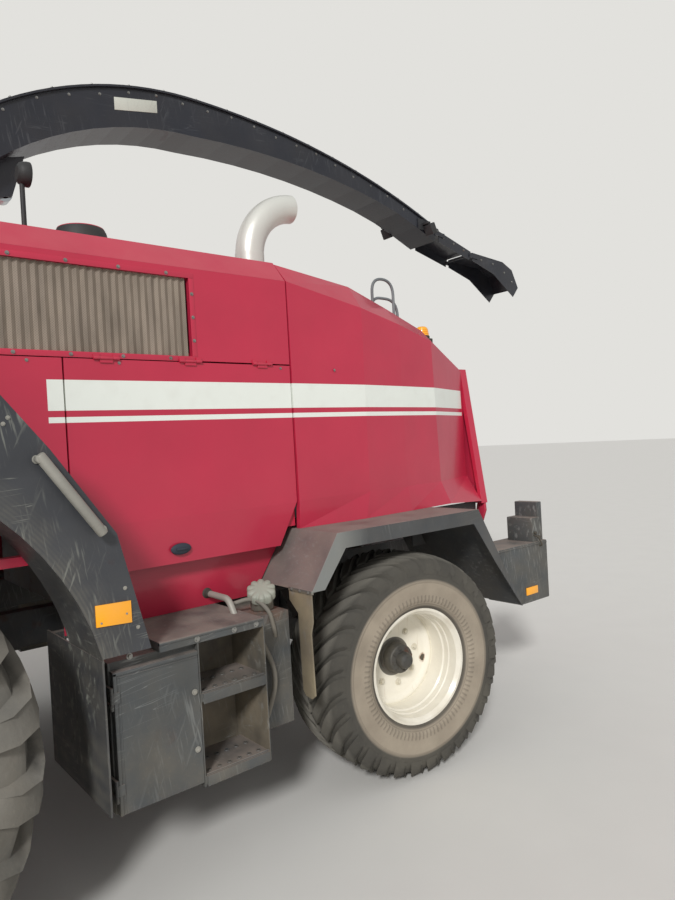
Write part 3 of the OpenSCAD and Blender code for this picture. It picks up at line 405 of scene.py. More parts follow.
@dataclass(frozen=True)
class GuardPlate(Finish):
    """Mudguard paint, with a bare handle and a dusty edge along the arch."""

    handle_x: float = 1.675
    centre: Station = (-3.040 + AXLE_Y, 0.9)
    arch: float = 1.15
    dirt_width: float = 0.13
    rear: float = -1.66 + AXLE_Y

    def base(self, n: Nodes) -> Socket:
        """Black paint, grey on the handle, dust near the arch, tan at the back."""
        x, y, z = n.axes()
        r = distance(y - self.centre[0], z - self.centre[1])
        edge = r.ring(self.arch, self.dirt_width, 0.0) * n.patches(9.0, 6.0, 0.25, 0.6)
        lined = (r * 420.0).wave() * 0.25 + 0.75
        paint = n.mix(edge * lined * 0.7, super().base(n), "6a675f")
        back = y.ramp(self.rear, self.rear + 0.06) * z.ramp(1.30, 1.10)
        paint = n.mix(back * 0.7, paint, "7d7060")
        bare = n.mix(n.patches(30.0, 5.0, 0.35, 0.7), "8e8d86", "bdbbb2")
        return n.mix(x.abs().ramp(self.handle_x - 0.002, self.handle_x), paint, bare)


@dataclass(frozen=True)
class StepPlate(Finish):
    """Platform paint, with dried mud inside the steps."""

    front: float = -1.48 + AXLE_Y
    wall: float = -1.146 + AXLE_Y
    inner: float = 1.345

    def base(self, n: Nodes) -> Socket:
        """Black paint, tan on the steps' rear wall and back plate."""
        x, y, z = n.axes()
        rear = y.ramp(self.wall - 0.012, self.wall - 0.002)
        inside = rear.largest(x.abs().ramp(self.inner, self.inner - 0.010))
        inside = inside * z.band(0.50, 1.10, 0.03)
        inside = inside * y.band(self.front, self.wall + 0.001, 0.002)
        mud = n.mix(n.patches(5.0, 6.0, 0.3, 0.7), "5a5348", "8d8270")
        share = inside * n.patches(3.0, 5.0, 0.25, 0.5) * 0.85
        return n.mix(share, super().base(n), mud)


@dataclass(frozen=True)
class TankPlate(Finish):
    """Tank paint, rusty round the filler's foot, with its neck in grey."""

    foot: Point = (1.305, -0.955 + AXLE_Y, 1.108)

    def base(self, n: Nodes) -> Socket:
        """Black paint with a rust ring, grey above the tank's top."""
        x, y, z = n.axes()
        near = distance(x - self.foot[0], y - self.foot[1]).ramp(0.16, 0.09)
        near = near * n.patches(26.0, 5.0, 0.35, 0.55) * z.ramp(1.05, 1.10)
        rust = n.mix(n.noise(60.0, 4.0), "5a3322", "94583a")
        paint = n.mix(near * 0.85, super().base(n), rust)
        grey = n.mix(n.patches(18.0, 6.0, 0.3, 0.7), "70706a", "9b9a8d")
        return n.mix(z.ramp(self.foot[2] + 0.003, self.foot[2] + 0.012), paint, grey)


@dataclass(frozen=True)
class FenderPlate(Finish):
    """Fender paint, dusty on its top and slopes, with a tan hanging flap."""

    flap: float = -0.848 + AXLE_Y
    lip: float = 1.599
    pale_lip: Station = (-0.66 + AXLE_Y, -0.46 + AXLE_Y)

    def base(self, n: Nodes) -> Socket:
        """Brown-grey dust on the slopes, pale lip, tan rubber flap."""
        x, y, z = n.axes()
        slopes = n.upward().ramp(0.15, 0.45) * n.patches(4.0, 5.0, 0.1, 0.5)
        paint = n.mix(slopes * 0.85, super().base(n), "7a706b")
        lip = x.abs().ramp(self.lip - 0.003, self.lip) * (1 - y.ramp(*self.pale_lip))
        paint = n.mix(lip * 0.75, paint, "8f928f")
        hung = y.ring(self.flap, 0.016, 0.012) * z.ramp(1.22, 1.19)
        tan = n.mix(n.patches(7.0, 6.0, 0.3, 0.7), "73695a", "93876f")
        return n.mix(hung, paint, tan)


@dataclass(frozen=True)
class RoundFinish(Finish):
    """A finish laid out round a wheel's own axle."""

    centre: Point = (0.0, 0.0, 0.0)
    steer: float = 0.0

    def polar(self, n: Nodes) -> tuple[Socket, Socket, Socket, Socket]:
        """The wheel's two cross axes, the distance from its axle and the place across it."""
        turn = (0, math.pi / 2, math.radians(self.steer))
        x, y, across = n.apart(n.seen(self.centre, turn))
        return x, y, distance(x, y), across


@dataclass(frozen=True)
class Tyre(RoundFinish):
    """Tyre rubber: painted shade in its grooves, dust on its lugs, sandy walls with painted
    sunlight.
    """

    bead: float = 0.33
    groove: float = 0.609
    lug: float = 0.026
    half: float = 0.25
    circle: float = 0.124
    shoulder: float = 0.114
    flat: float = 0.0
    # Sidewall colours: sandy dust, made lighter as painted sunlight against the shaded tread.
    wall: str = "ada08e"
    wall_deep: str = "968a7a"
    # Painted shade colour of the groove floors and the moulded lines.
    groove_shade: str = "35332f"
    rib_count: float = 90.0

    def ribs(self, x: Socket, y: Socket, r: Socket, low: float, high: float) -> Socket:
        """Short moulded ribs round the bead."""
        waves = (y.turn(x) * self.rib_count).wave().ramp(low, high)
        return waves * r.band(self.bead + 0.040, self.bead + 0.075, 0.006)

    def base(self, n: Nodes) -> Socket:
        """Rubber by its place on the tyre."""
        x, y, r, across = self.polar(n)
        worn = n.mix(n.patches(16.0, 7.0, 0.3, 0.7), self.colour, self.scratch_colour)
        edge = self.groove - self.shoulder
        # Sidewall mask: dust, and painted sunlight that lightens the walls.
        side = across.abs().ramp(self.half * 0.84, self.half * 0.93) * self.flat
        side = side.largest(r.ramp(edge + 0.008, edge - 0.008))
        sandy = n.mix(n.patches(6.0, 6.0, 0.3, 0.7), self.wall_deep, self.wall)
        # Painted shade: the groove floors between the lugs turn towards the shade colour.
        floor = r.ramp(self.groove + self.lug * 0.6, self.groove + self.lug * 0.1)
        worn = n.mix(floor * 0.75, worn, self.groove_shade)
        colour = n.mix(side * 0.9, worn, sandy)
        circle = r.ring(self.groove - self.circle, 0.008, 0.002)
        circle = circle.largest(r.ring(self.bead + 0.030, 0.004, 0.002))
        # The moulded circles and ribs get the same painted shade.
        moulded = self.ribs(x, y, r, 0.2, 0.8).largest(circle * 0.7)
        colour = n.mix(moulded * 0.30, colour, self.groove_shade)
        bead = r.ramp(self.bead + 0.026, self.bead + 0.012)
        bead = bead * across.abs().ramp(self.half * 0.5, self.half * 0.7)
        return n.mix(bead * 0.8, colour, "2c2b29")

    def relief(self, n: Nodes) -> Socket:
        """Cracks and pits, with moulded circles and ribs by the bead."""
        x, y, r, _ = self.polar(n)
        ribs = self.ribs(x, y, r, -0.2, 0.6)
        rings = r.ring(self.groove - self.circle, 0.008, 0.002)
        rings = rings + r.ring(self.bead + 0.030, 0.005, 0.002)
        fine = n.noise(self.grain, 6.0) * 0.5 + n.noise(18.0, 3.0) * 0.3
        return fine + ribs * 0.45 + rings * 0.6


@dataclass(frozen=True)
class RimPaint(RoundFinish):
    """Cream rim paint with a black middle and rust round the hand holes."""

    middle: float = 0.115
    hole: float = 0.232
    hole_turn: float = 76.0
    barrel: float = 0.262

    def base(self, n: Nodes) -> Socket:
        """Cream, black round the hub, rusty by the holes, sandy in the barrel."""
        x, y, r, _ = self.polar(n)
        colour = super().base(n)
        turn = math.radians(self.hole_turn)
        for hole in (self.hole, -self.hole):
            ring = distance(x - hole * math.cos(turn), y - hole * math.sin(turn))
            ring = ring.ramp(0.034, 0.021) * r.ramp(self.hole + 0.014, self.hole + 0.010)
            colour = n.mix(ring * n.patches(50.0, 5.0, 0.3, 0.55), colour, "8a5a34")
        drips = n.noise(9.0, 5.0, (6, 6, 0.6)).ramp(0.62, 0.75)
        colour = n.mix(drips * r.band(0.13, self.barrel, 0.01) * 0.3, colour, "a98c62")
        sandy = r.ramp(self.barrel, self.barrel + 0.05) * n.patches(8.0, 6.0, 0.3, 0.7)
        colour = n.mix(sandy * 0.45, colour, "b5a78c")
        centre = r.ramp(self.middle + 0.0015, self.middle - 0.0015)
        return n.mix(centre * 0.96, colour, n.mix(n.noise(20.0, 5.0), "2b2b2c", "4a4844"))


@dataclass(frozen=True)
class Mesh(Finish):
    """Corrugated sheet with small round holes painted in as shade."""

    pitch: float = 0.011

    def base(self, n: Nodes) -> Socket:
        """Tan sheet, with painted shade where its holes are."""
        turns = 2 * math.pi / self.pitch
        _, y, z = n.axes()
        # Painted shade: each hole is shaded in colour.
        holes = ((y * turns).wave() * (z * turns).wave()).ramp(0.05, 0.45)
        patchy = n.noise(7.0, 5.0, (1, 3, 0.6)).ramp(0.35, 0.7)
        sheet = n.mix(patchy, self.colour, self.scratch_colour)
        return n.mix(holes * 0.35, sheet, "2b2723")


@dataclass(frozen=True)
class Cloth(Finish):
    """Woven seat cloth."""

    thread: float = 0.004

    def relief(self, n: Nodes) -> Socket:
        """Threads over and under each other."""
        turns = 2 * math.pi / self.thread
        x, y, z = n.axes()
        return (x * turns).wave() * ((y + z) * turns).wave() * 0.5 + 0.5


@dataclass(frozen=True)
class Clear:
    """Glass, or a lens that shines its own colour: a lamp's, or a reflector's as painted
    reflection.
    """

    name: str
    colour: str
    alpha: float = 0.4
    roughness: float = 0.04
    glow: float = 0.0
    flutes: float = 0.0

    def material(self) -> bpy.types.Material:
        """Builds the finish.

        Returns:
            The material.
        """
        n = Nodes(self.name)
        film = n.patches(4.0, 5.0, 0.4, 0.8)
        colour = n.mix(film * 0.3, self.colour, "a39a86")
        ribs = n.noise(90.0, 1.0)
        if self.flutes:
            ribs = (n.axes()[1] * (2 * math.pi / self.flutes)).wave() * 0.5 + ribs
        sockets = {
            "Base Color": colour,
            "Roughness": film * 0.2 + self.roughness,
            "Alpha": film * 0.1 + self.alpha,
            "Emission Strength": self.glow,
            "Coat Weight": 0.3,
        }
        if self.glow:
            sockets["Emission Color"] = colour
        return n.finish(sockets, ribs, 0.0004)


STEER = -6.8
KINGPIN_X = 1.0
SPINDLE = 0.33


def front_hub(side: Side) -> Point:
    """Middle of a front wheel."""
    return (side.value * 1.335, -3.040 + AXLE_Y, 0.9)


def rear_hub(side: Side) -> Point:
    """Middle of a rear wheel, which the steering swings about its kingpin."""
    turn = math.radians(STEER)
    x = side.value * (KINGPIN_X + SPINDLE * math.cos(turn))
    return (x, AXLE_Y + side.value * SPINDLE * math.sin(turn), 0.635)


def wheel_finishes(side: Side) -> list[RoundFinish]:
    """The rubber and the rim paint of one side's two wheels."""
    word = side.name.lower()
    front = {"centre": front_hub(side)}
    rear = {"centre": rear_hub(side), "steer": STEER}
    return [
        RimPaint(
            "front_rim_" + word, "efe9d6", 0.36, coat=0.2, mottle=0.05, dust=0.35,
            dust_colour="b0a38c", dust_top=1.3, middle=0.0, hole=0.265, hole_turn=0.0,
            barrel=0.36, **front,
        ),
        RimPaint(
            "rear_rim_" + word, "f3eee0", 0.34, coat=0.25, mottle=0.05, dust=0.22,
            dust_colour="c2b79f", dust_top=1.3, **rear,
        ),
        Tyre(
            "front_rubber_" + word, "75716a", 0.84, grain=45.0, grain_depth=0.004, dust=0.35,
            dust_colour="948b7b", dust_top=2.4, scratch_colour="5b5953", bead=0.436,
            groove=0.848, lug=0.052, half=0.4, circle=0.17, shoulder=0.04, flat=1.0,
            wall="77746d", wall_deep="62605a", groove_shade="2e2d2a", **front,
        ),
        # Rear tread colour darkened as painted shade; its walls keep the lighter painted-sunlight
        # colours.
        Tyre(
            "rear_rubber_" + word, "64615a", 0.86, grain=45.0, grain_depth=0.003, dust=0.2,
            dust_colour="97907f", dust_top=2.2, scratch_colour="605d56", **rear,
        ),
    ]


PLATE = {
    "roughness": 0.46, "mottle": 0.22, "dust": 0.45, "dust_top": 1.9,
    "scratch": 0.75, "scratch_colour": "8f918f", "settle": 0.85, "rust": 0.12,
}
FINISHES = [
    StripedPaint(
        "hood", "c02846", 0.34, coat=0.35, mottle=0.05, grain=5.0, grain_depth=0.004,
        dust=0.08, dust_colour="a88a72", dust_top=2.0, settle=0.18, settle_colour="b08a80",
    ),
    Finish("black", "3f4245", 0.5, mottle=0.2, dust=0.5, settle=0.4, scratch=0.5, rust=0.15),
    Finish(
        "spout", "1d2029", 0.34, coat=0.25, mottle=0.15, dust=0.12, dust_top=4.6, scratch=0.3,
        scratch_colour="5c5f62", settle=0.12, settle_colour="55534f",
    ),
    Finish("plate", "45494b", **PLATE),
    StepPlate("step_plate", "45494b", **PLATE),
    Finish(
        "door_plate", "484c4e", 0.42, mottle=0.18, dust=0.5, dust_top=1.2, scratch=0.8,
        scratch_colour="7d8180", settle=0.7, rust=0.05,
    ),
    GuardPlate(
        "guard", "3b3d42", 0.42, mottle=0.2, dust=0.16, dust_top=2.2, dust_colour="77735f",
        scratch=0.75, scratch_colour="9a9c92", settle=0.6, rust=0.04,
    ),
    TankPlate(
        "tank", "474a4b", 0.5, mottle=0.2, dust=0.55, dust_top=1.9, scratch=0.5, settle=0.6
    ),
    FenderPlate(
        "fender", "44474a", 0.48, mottle=0.2, dust=0.35, dust_top=2.0, scratch=0.4,
        settle=0.8, settle_colour="8f7f78",
    ),
    Finish("grey", "6f7477", 0.55, mottle=0.2, dust=0.6, dust_top=3.0, rust=0.3),
    Finish("nut", "e0dac8", 0.4, mottle=0.08, dust=0.3, dust_top=1.3, rust=0.12),
    Finish("cream", "efe9d6", 0.36, coat=0.2, mottle=0.06, dust_top=1.3, rust=0.25),
    Finish("steel", "9a9a96", 0.42, metallic=0.8, mottle=0.15, dust=0.4, rust=0.35),
    Finish(
        "pale_tube", "9d9b93", 0.5, metallic=0.2, mottle=0.2, dust=0.3, dust_top=3.2, rust=0.2
    ),
    Finish("chrome", "c9cdd0", 0.14, metallic=1.0, mottle=0.05, dust=0.08),
    Finish("exhaust", "dcdcd4", 0.36, metallic=0.35, mottle=0.06, grain=30.0, dust=0.05),
    Mesh(
        "mesh", "948678", 0.7, mottle=0.1, dust=0.3, dust_top=4.0, scratch_colour="776b5f"
    ),
    Cloth("cloth", "2f3236", 0.92, mottle=0.25, grain_depth=0.001, dust=0.1),
    Finish(
        "plastic", "26282b", 0.6, mottle=0.1, grain=220.0, grain_depth=0.0005, dust_top=3.8
    ),
    Finish(
        "hub", "4b4a47", 0.6, metallic=0.2, mottle=0.3, dust=0.6, dust_colour="8b8375",
        rust=0.3,
    ),
    Finish(
        "rubber", "2a2a29", 0.8, mottle=0.2, grain=90.0, grain_depth=0.001, dust=0.45,
        dust_top=3.0,
    ),
    Finish("hose", "77736b", 0.75, mottle=0.25, grain=260.0, dust=0.5, dust_top=2.0),
    Finish("latch", "2b3340", 0.5, mottle=0.1, grain=180.0, dust=0.2),
    Finish("sign", "c9cbc0", 0.5, mottle=0.08, dust=0.3, dust_top=5.0, scratch=0.3),
    Finish(
        "cap", "989a8e", 0.55, mottle=0.14, dust=0.35, dust_top=2.0, dust_colour="a7a48e",
        scratch=0.3,
    ),
    Clear("glass", "3a4a4c", 0.38),
    # The amber glow lights the beacon's lens and is a painted reflection on the reflectors.
    Clear("amber", "ffab0f", 1.0, 0.25, 0.12),
    Clear("red_lens", "b3161a", 1.0, 0.2, 0.05, 0.012),
    Clear("white_lens", "d5d6d2", 1.0, 0.2, 0.03, 0.010),
    Finish(
        "mirror", "dfe6e8", 0.05, metallic=1.0, mottle=0.03, grain_depth=0.0, dust=0.1,
        dust_top=4.5,
    ),
    *wheel_finishes(Side.LEFT),
    *wheel_finishes(Side.RIGHT),
]


class Palette:
    """Every finish of the machine, built once each."""

    TABLE = {finish.name: finish for finish in FINISHES}
    SHARED = {
        "hood_red": "hood",
        "frame_black": "black spout",
        "plate_black": "plate guard tank fender door_plate step_plate",
        "engine_grey": "grey",
        "rim_cream": "cream nut rear_rim_left rear_rim_right",
        "bare_steel": "steel pale_tube",
        "tyre_black": "front_rubber_left front_rubber_right rear_rubber_left rear_rubber_right",
        "rod_chrome": "chrome",
        "exhaust_steel": "exhaust",
        "grille_tan": "mesh",
        "seat_fabric": "cloth",
        "inner_plastic": "plastic",
        "cab_glass": "glass",
    }
    SLOTS = {finish: slot for slot, names in SHARED.items() for finish in names.split()}
    NODES = {
        "hood": "hood_side_panels roof_front rear_hood rear_door side_door_left"
        " side_door_right cab_roof chopper_housing",
        "black": "chassis_frame frame_supports front_axle rear_axle knuckle_left"
        " knuckle_right tie_rod feed_housing lift_barrels turret cab_frame cab_door mirrors",
        "spout": "spout_arm flap_inner flap_outer spout_barrel",
        "guard": "front_mudguards",
        "step_plate": "side_platforms",
        "plate": "rear_boxes",
        "door_plate": "toolbox_door",
        "tank": "fuel_tanks",
        "fender": "rear_fenders",
        "grey": "engine_block",
        **{
            f"{end}_{finish}_{side}": f"{end}_{solid}_{side}"
            for finish, solid in (("rim", "rim"), ("rubber", "tyre"))
            for end in ("front", "rear")
            for side in ("left", "right")
        },
        "steel": "feed_roll_upper feed_roll_lower",
        "chrome": "lift_rods spout_rod",
        "exhaust": "exhaust_pipe",
        "mesh": "intake_grilles",
        "glass": "cab_glass cab_door_glass",
        "cloth": "cab_seat",
        "plastic": "cab_console",
    }
    CRISP = (
        "hood_side_panels side_door_left side_door_right rear_door roof_front rear_hood"
        " front_mudguards side_platforms toolbox_door rear_fenders rear_boxes"
    )
    WELD = 0.0002
    ROUNDING = 0.0025

    def __init__(self) -> None:
        """Starts with no finish built."""
        self.made: dict[str, bpy.types.Material] = {}

    def get(self, name: str) -> bpy.types.Material:
        """Returns the finish of that name, building it the first time."""
        if name not in self.made:
            self.made[name] = self.TABLE[name].material()
        return self.made[name]

    def dress(self, nodes: dict[str, bpy.types.Object]) -> None:
        """Gives every carried-over solid its finish and rounds the plates' edges.

        Args:
            nodes: The frame's objects by name.
        """
        for finish, names in self.NODES.items():
            for name in names.split():
                for slot in nodes[name].material_slots:
                    slot.material = self.get(finish)
                LOG.info("solid %s: %s", name, finish)
        for name in self.CRISP.split():
            nodes[name].modifiers.new("joined", "WELD").merge_threshold = self.WELD
            rounded = nodes[name].modifiers.new("rounded", "BEVEL")
            rounded.width, rounded.segments, rounded.profile = self.ROUNDING, 2, 0.5
            rounded.limit_method, rounded.angle_limit = "ANGLE", math.radians(25)
            rounded.harden_normals = True


# Shapes


def bent(path: Iterable[Coords], radius: float, steps: int = 6) -> list[Vector]:
    """Rounds the corners of a path.

    Args:
        path: The corners.
        radius: Distance from each corner where its bend starts.
        steps: Pieces of each bend.

    Returns:
        The points of the smoothed path.
    """
    corners = [Vector(p) for p in path]
    made = [corners[0]]
    for before, corner, after in zip(corners, corners[1:], corners[2:]):
        room = min(radius, (before - corner).length / 2, (after - corner).length / 2)
        start = corner + (before - corner).normalized() * room
        end = corner + (after - corner).normalized() * room
        for i in range(steps + 1):
            t = i / steps
            made.append(start * (1 - t) ** 2 + corner * 2 * t * (1 - t) + end * t * t)
    made.append(corners[-1])
    return made


def facing(direction: Coords) -> Matrix:
    """The turn that takes the Z axis to a direction."""
    return Vector(UP).rotation_difference(Vector(direction)).to_matrix().to_4x4()


def points_of(geom: Iterable[bmesh.types.BMVert | bmesh.types.BMFace]) -> list[bmesh.types.BMVert]:
    """The points among the results of an operator."""
    return [g for g in geom if isinstance(g, bmesh.types.BMVert)]


class Form:
    """A mesh in the making, from parts that bmesh operators shape."""

    def __init__(self) -> None:
        """Starts empty."""
        self.bm = bmesh.new()

    def take(self, part: bmesh.types.BMesh, place: Matrix | None = None) -> Form:
        """Adds a part, at a place if one is given, and frees it."""
        if place is not None:
            bmesh.ops.transform(part, matrix=place, verts=part.verts)
            if place.determinant() < 0:
                bmesh.ops.reverse_faces(part, faces=part.faces)
        kept = bpy.data.meshes.new("part")
        part.to_mesh(kept)
        part.free()
        self.bm.from_mesh(kept)
        bpy.data.meshes.remove(kept)
        return self

    def add(self, other: Form, place: Matrix) -> Form:
        """Adds a copy of another form at a place."""
        return self.take(other.bm.copy(), place)

    @staticmethod
    def bevel(part: bmesh.types.BMesh, edges: list, size: float, segments: int = 2) -> None:
        """Bevels some edges of a part."""
        bmesh.ops.bevel(
            part, geom=edges, offset=size, segments=segments, profile=0.5, affect="EDGES",
            material=-1, clamp_overlap=True,
        )

    def soften(self, part: bmesh.types.BMesh, edge: float, limit: float = 35.0) -> None:
        """Bevels the edges of a part that are sharper than an angle in degrees."""
        if edge > 0:
            least = math.radians(limit)
            joined = [e for e in part.edges if len(e.link_faces) == 2]
            self.bevel(part, [e for e in joined if e.calc_face_angle(0) > least], edge)

    def block(
        self, low: Coords, high: Coords, edge: float = 0.0, place: Matrix | None = None
    ) -> Form:
        """A box between two corners with rounded edges.

        Args:
            low: Lowest corner.
            high: Highest corner.
            edge: Size of the rounding.
            place: Where it goes, or None for as it is.

        Returns:
            This form.
        """
        part = bmesh.new()
        bmesh.ops.create_cube(part, size=1.0)
        size = [h - l for l, h in zip(low, high)]
        middle = Matrix.Translation([(h + l) / 2 for l, h in zip(low, high)])
        stretch = middle @ Matrix.Diagonal((*size, 1))
        bmesh.ops.transform(part, matrix=stretch, verts=part.verts)
        self.soften(part, edge)
        return self.take(part, place)

    def rod(
        self,
        start: Coords,
        end: Coords,
        radius: float,
        sides: int = 24,
        edge: float = 0.0,
        tip: float | None = None,
    ) -> Form:
        """A round or many-sided bar between two points.

        Args:
            start: Middle of its first end.
            end: Middle of its other end.
            radius: Radius at the start.
            sides: Number of sides.
            edge: Size of the rounding at the ends.
            tip: Radius at the end, or None for the same.

        Returns:
            This form.
        """
        part = bmesh.new()
        a, b = Vector(start), Vector(end)
        last = radius if tip is None else tip
        bmesh.ops.create_cone(
            part, cap_ends=True, segments=sides, radius1=radius, radius2=last,
            depth=(b - a).length,
        )
        self.soften(part, edge, limit=60.0)
        return self.take(part, Matrix.Translation((a + b) / 2) @ facing(b - a))

    def lathe(
        self,
        profile: Sequence[Station],
        steps: int = 64,
        ring: bool = False,
        place: Matrix | None = None,
        edge: float = 0.0,
    ) -> Form:
        """Turns a profile of (radius, height) round the Z axis.

        Args:
            profile: Points from one end to the other.
            steps: Divisions round.
            ring: True where the profile closes on itself.
            place: Where it goes, or None for as it is.
            edge: Size of the rounding on its sharp rims.

        Returns:
            This form.
        """
        part = bmesh.new()
        verts = [part.verts.new((r, 0, z)) for r, z in profile]
        edges = [part.edges.new(pair) for pair in zip(verts, verts[1:])]
        if ring:
            edges.append(part.edges.new((verts[-1], verts[0])))
        bmesh.ops.spin(
            part, geom=verts + edges, cent=(0, 0, 0), axis=UP, dvec=(0, 0, 0),
            angle=2 * math.pi, steps=steps, use_merge=True, use_duplicate=False,
        )
        bmesh.ops.remove_doubles(part, verts=part.verts, dist=1e-5)
        bmesh.ops.recalc_face_normals(part, faces=part.faces)
        self.soften(part, edge)
        return self.take(part, place)

    def slab(
        self,
        outline: Sequence[Station],
        low: float,
        high: float,
        axis: Axis = Axis.X,
        edge: float = 0.0,
    ) -> Form:
        """A flat outline given some thickness.

        Args:
            outline: Corners on the two other axes, in order.
            low: Lower face along the axis.
            high: Upper face along the axis.
            axis: Direction of the thickness.
            edge: Size of the rounding.

        Returns:
            This form.
        """
        part = bmesh.new()
        corners = [[*p[: axis.value], low, *p[axis.value :]] for p in outline]
        face = part.faces.new([part.verts.new(corner) for corner in corners])
        pulled = bmesh.ops.extrude_face_region(part, geom=[face])["geom"]
        shift = Vector([high - low if i == axis.value else 0 for i in range(3)])
        bmesh.ops.translate(part, vec=shift, verts=points_of(pulled))
        bmesh.ops.recalc_face_normals(part, faces=part.faces)
        self.soften(part, edge)
        return self.take(part)

    def tube(self, path: Iterable[Coords], radius: float, sides: int = 16) -> Form:
        """A round tube along a path, closed at its ends.

        Args:
            path: The points that it follows.
            radius: Its radius.
            sides: Divisions round.

        Returns:
            This form.
        """
        points = [Vector(p) for p in path]
        turn = Vector(UP).rotation_difference(points[1] - points[0])
        part = bmesh.new()
        bmesh.ops.create_circle(part, cap_ends=True, segments=sides, radius=radius)
        frame = Matrix.Translation(points[0]) @ turn.to_matrix().to_4x4()
        bmesh.ops.transform(part, matrix=frame, verts=part.verts)
        cap = part.faces[:][0]
        for i in range(1, len(points)):
            ahead = points[min(i + 1, len(points) - 1)] - points[i - 1]
            turn = (turn @ Vector(UP)).rotation_difference(ahead) @ turn
            after = Matrix.Translation(points[i]) @ turn.to_matrix().to_4x4()
            pulled = bmesh.ops.extrude_face_region(part, geom=[cap])["geom"]
            step = after @ frame.inverted()
            bmesh.ops.transform(part, matrix=step, verts=points_of(pulled))
            cap = [g for g in pulled if isinstance(g, bmesh.types.BMFace)][0]
            frame = after
        bmesh.ops.recalc_face_normals(part, faces=part.faces)
        return self.take(part)

    def bolts(self, places: Iterable[Coords], way: Coords, size: float = 0.008) -> Form:
        """Hexagon heads on washers at several places.

        Args:
            places: Middle of each washer's underside.
            way: The way that the heads look.
            size: Radius across the corners.

        Returns:
            This form.
        """
        head = Form()
        head.rod((0, 0, -size * 0.1), (0, 0, size * 0.3), size * 1.5, 10)
        head.rod((0, 0, size * 0.3), (0, 0, size * 1.1), size, 6, tip=size * 0.86)
        for place in places:
            self.add(head, Matrix.Translation(place) @ facing(way))
        return self

    def piece(
        self, name: str, body: str, finish: str, palette: Palette, crisp: float
    ) -> bpy.types.Object:
        """Makes the form an object that rides on a body.

        Args:
            name: The piece's name.
            body: The body that carries it.
            finish: The palette's name of its finish.
            palette: The machine's finishes.
            crisp: Angle in degrees above which an edge stays sharp.

        Returns:
            The object.
        """
        shape = bpy.data.meshes.new(name)
        self.bm.to_mesh(shape)
        self.bm.free()
        shape.polygons.foreach_set("use_smooth", [True] * len(shape.polygons))
        shape.set_sharp_from_angle(angle=math.radians(crisp))
        shape.materials.append(palette.get(finish))
        thing = bpy.data.objects.new(name, shape)
        bpy.context.scene.collection.objects.link(thing)
        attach(thing, body)
        LOG.info("piece %s on %s: %d faces", name, body, len(shape.polygons))
        return thing


# The studio


@dataclass
class Viewpoint:
    """The camera at the photograph's angle, with its angles in degrees."""

    spot: Point = (4.264, -1.924, 1.946)
    yaw: float = 39.728
    pitch: float = -0.643
    roll: float = 3.190
    focal: float = 675.17
    long_side: float = 900.0

    def build(self) -> None:
        """Sets the scene's camera."""
        yaw, pitch, roll = (math.radians(a) for a in (self.yaw, self.pitch, self.roll))
        level = math.cos(pitch)
        ahead = Vector((-math.cos(yaw) * level, math.sin(yaw) * level, math.sin(pitch)))
        right = ahead.cross(Vector(UP)).normalized()
        down = ahead.cross(right)
        across = right * math.cos(roll) + down * math.sin(roll)
        below = down * math.cos(roll) - right * math.sin(roll)
        lens = bpy.data.cameras.new("photo_camera")
        lens.sensor_width = 36.0
        lens.lens = self.focal / self.long_side * lens.sensor_width
        lens.clip_end = 200.0
        camera = bpy.data.objects.new("photo_camera", lens)
        bpy.context.scene.collection.objects.link(camera)
        turn = Matrix((across, -below, -ahead)).transposed().to_4x4()
        camera.matrix_world = Matrix.Translation(self.spot) @ turn
        bpy.context.scene.camera = camera


@dataclass
class Studio:
    """Pale floor, plain surroundings and soft light."""

    floor_half: float = 90.0
    floor_colour: str = "dcdad5"
    sky_colour: str = "e2e1dd"
    fill: float = 0.50
    key: float = 2.2
    key_travel: Point = (-0.62, 0.66, -0.56)
    softness: float = 0.16

    def build(self) -> None:
        """Lays the floor and sets the light."""
        self.floor()
        self.surroundings()
        lamp = bpy.data.lights.new("key", "SUN")
        lamp.energy, lamp.angle = self.key, self.softness
        sun = bpy.data.objects.new("key", lamp)
        bpy.context.scene.collection.objects.link(sun)
        sun.rotation_mode = "QUATERNION"
        sun.rotation_quaternion = Vector(self.key_travel).to_track_quat("-Z", "Y")
        bpy.context.scene.view_settings.view_transform = "Standard"

    def floor(self) -> None:
        """Lays the floor."""
        plane = bmesh.new()
        bmesh.ops.create_grid(plane, x_segments=2, y_segments=2, size=self.floor_half)
        shape = bpy.data.meshes.new("floor")
        plane.to_mesh(shape)
        plane.free()
        floor = bpy.data.objects.new("floor", shape)
        bpy.context.scene.collection.objects.link(floor)
        paint = Finish("floor", self.floor_colour, 0.9, mottle=0.01, dust=0.0, grain_depth=0.0)
        shape.materials.append(paint.material())

    def surroundings(self) -> None:
        """Lights the scene evenly, and shows the camera a plain pale background."""
        world = bpy.data.worlds.new("studio")
        world.use_nodes = True
        bpy.context.scene.world = world
        tree = world.node_tree
        tree.nodes.clear()
        kinds = ("LightPath", "Math", "Background", "Background", "MixShader", "OutputWorld")
        path, seen, back, glow, mix, out = (tree.nodes.new("ShaderNode" + k) for k in kinds)
        seen.operation = "MAXIMUM"
        glow.inputs[0].default_value, glow.inputs[1].default_value = (1, 1, 1, 1), self.fill
        back.inputs[0].default_value = linear(self.sky_colour)
        back.inputs[1].default_value = 1.0
        for start, end in (
            (path.outputs["Is Camera Ray"], seen.inputs[0]),
            (path.outputs["Is Transmission Ray"], seen.inputs[1]),
            (seen.outputs[0], mix.inputs[0]),
            (glow.outputs[0], mix.inputs[1]),
            (back.outputs[0], mix.inputs[2]),
            (mix.outputs[0], out.inputs[0]),
        ):
            tree.links.new(start, end)


# Sub-assemblies


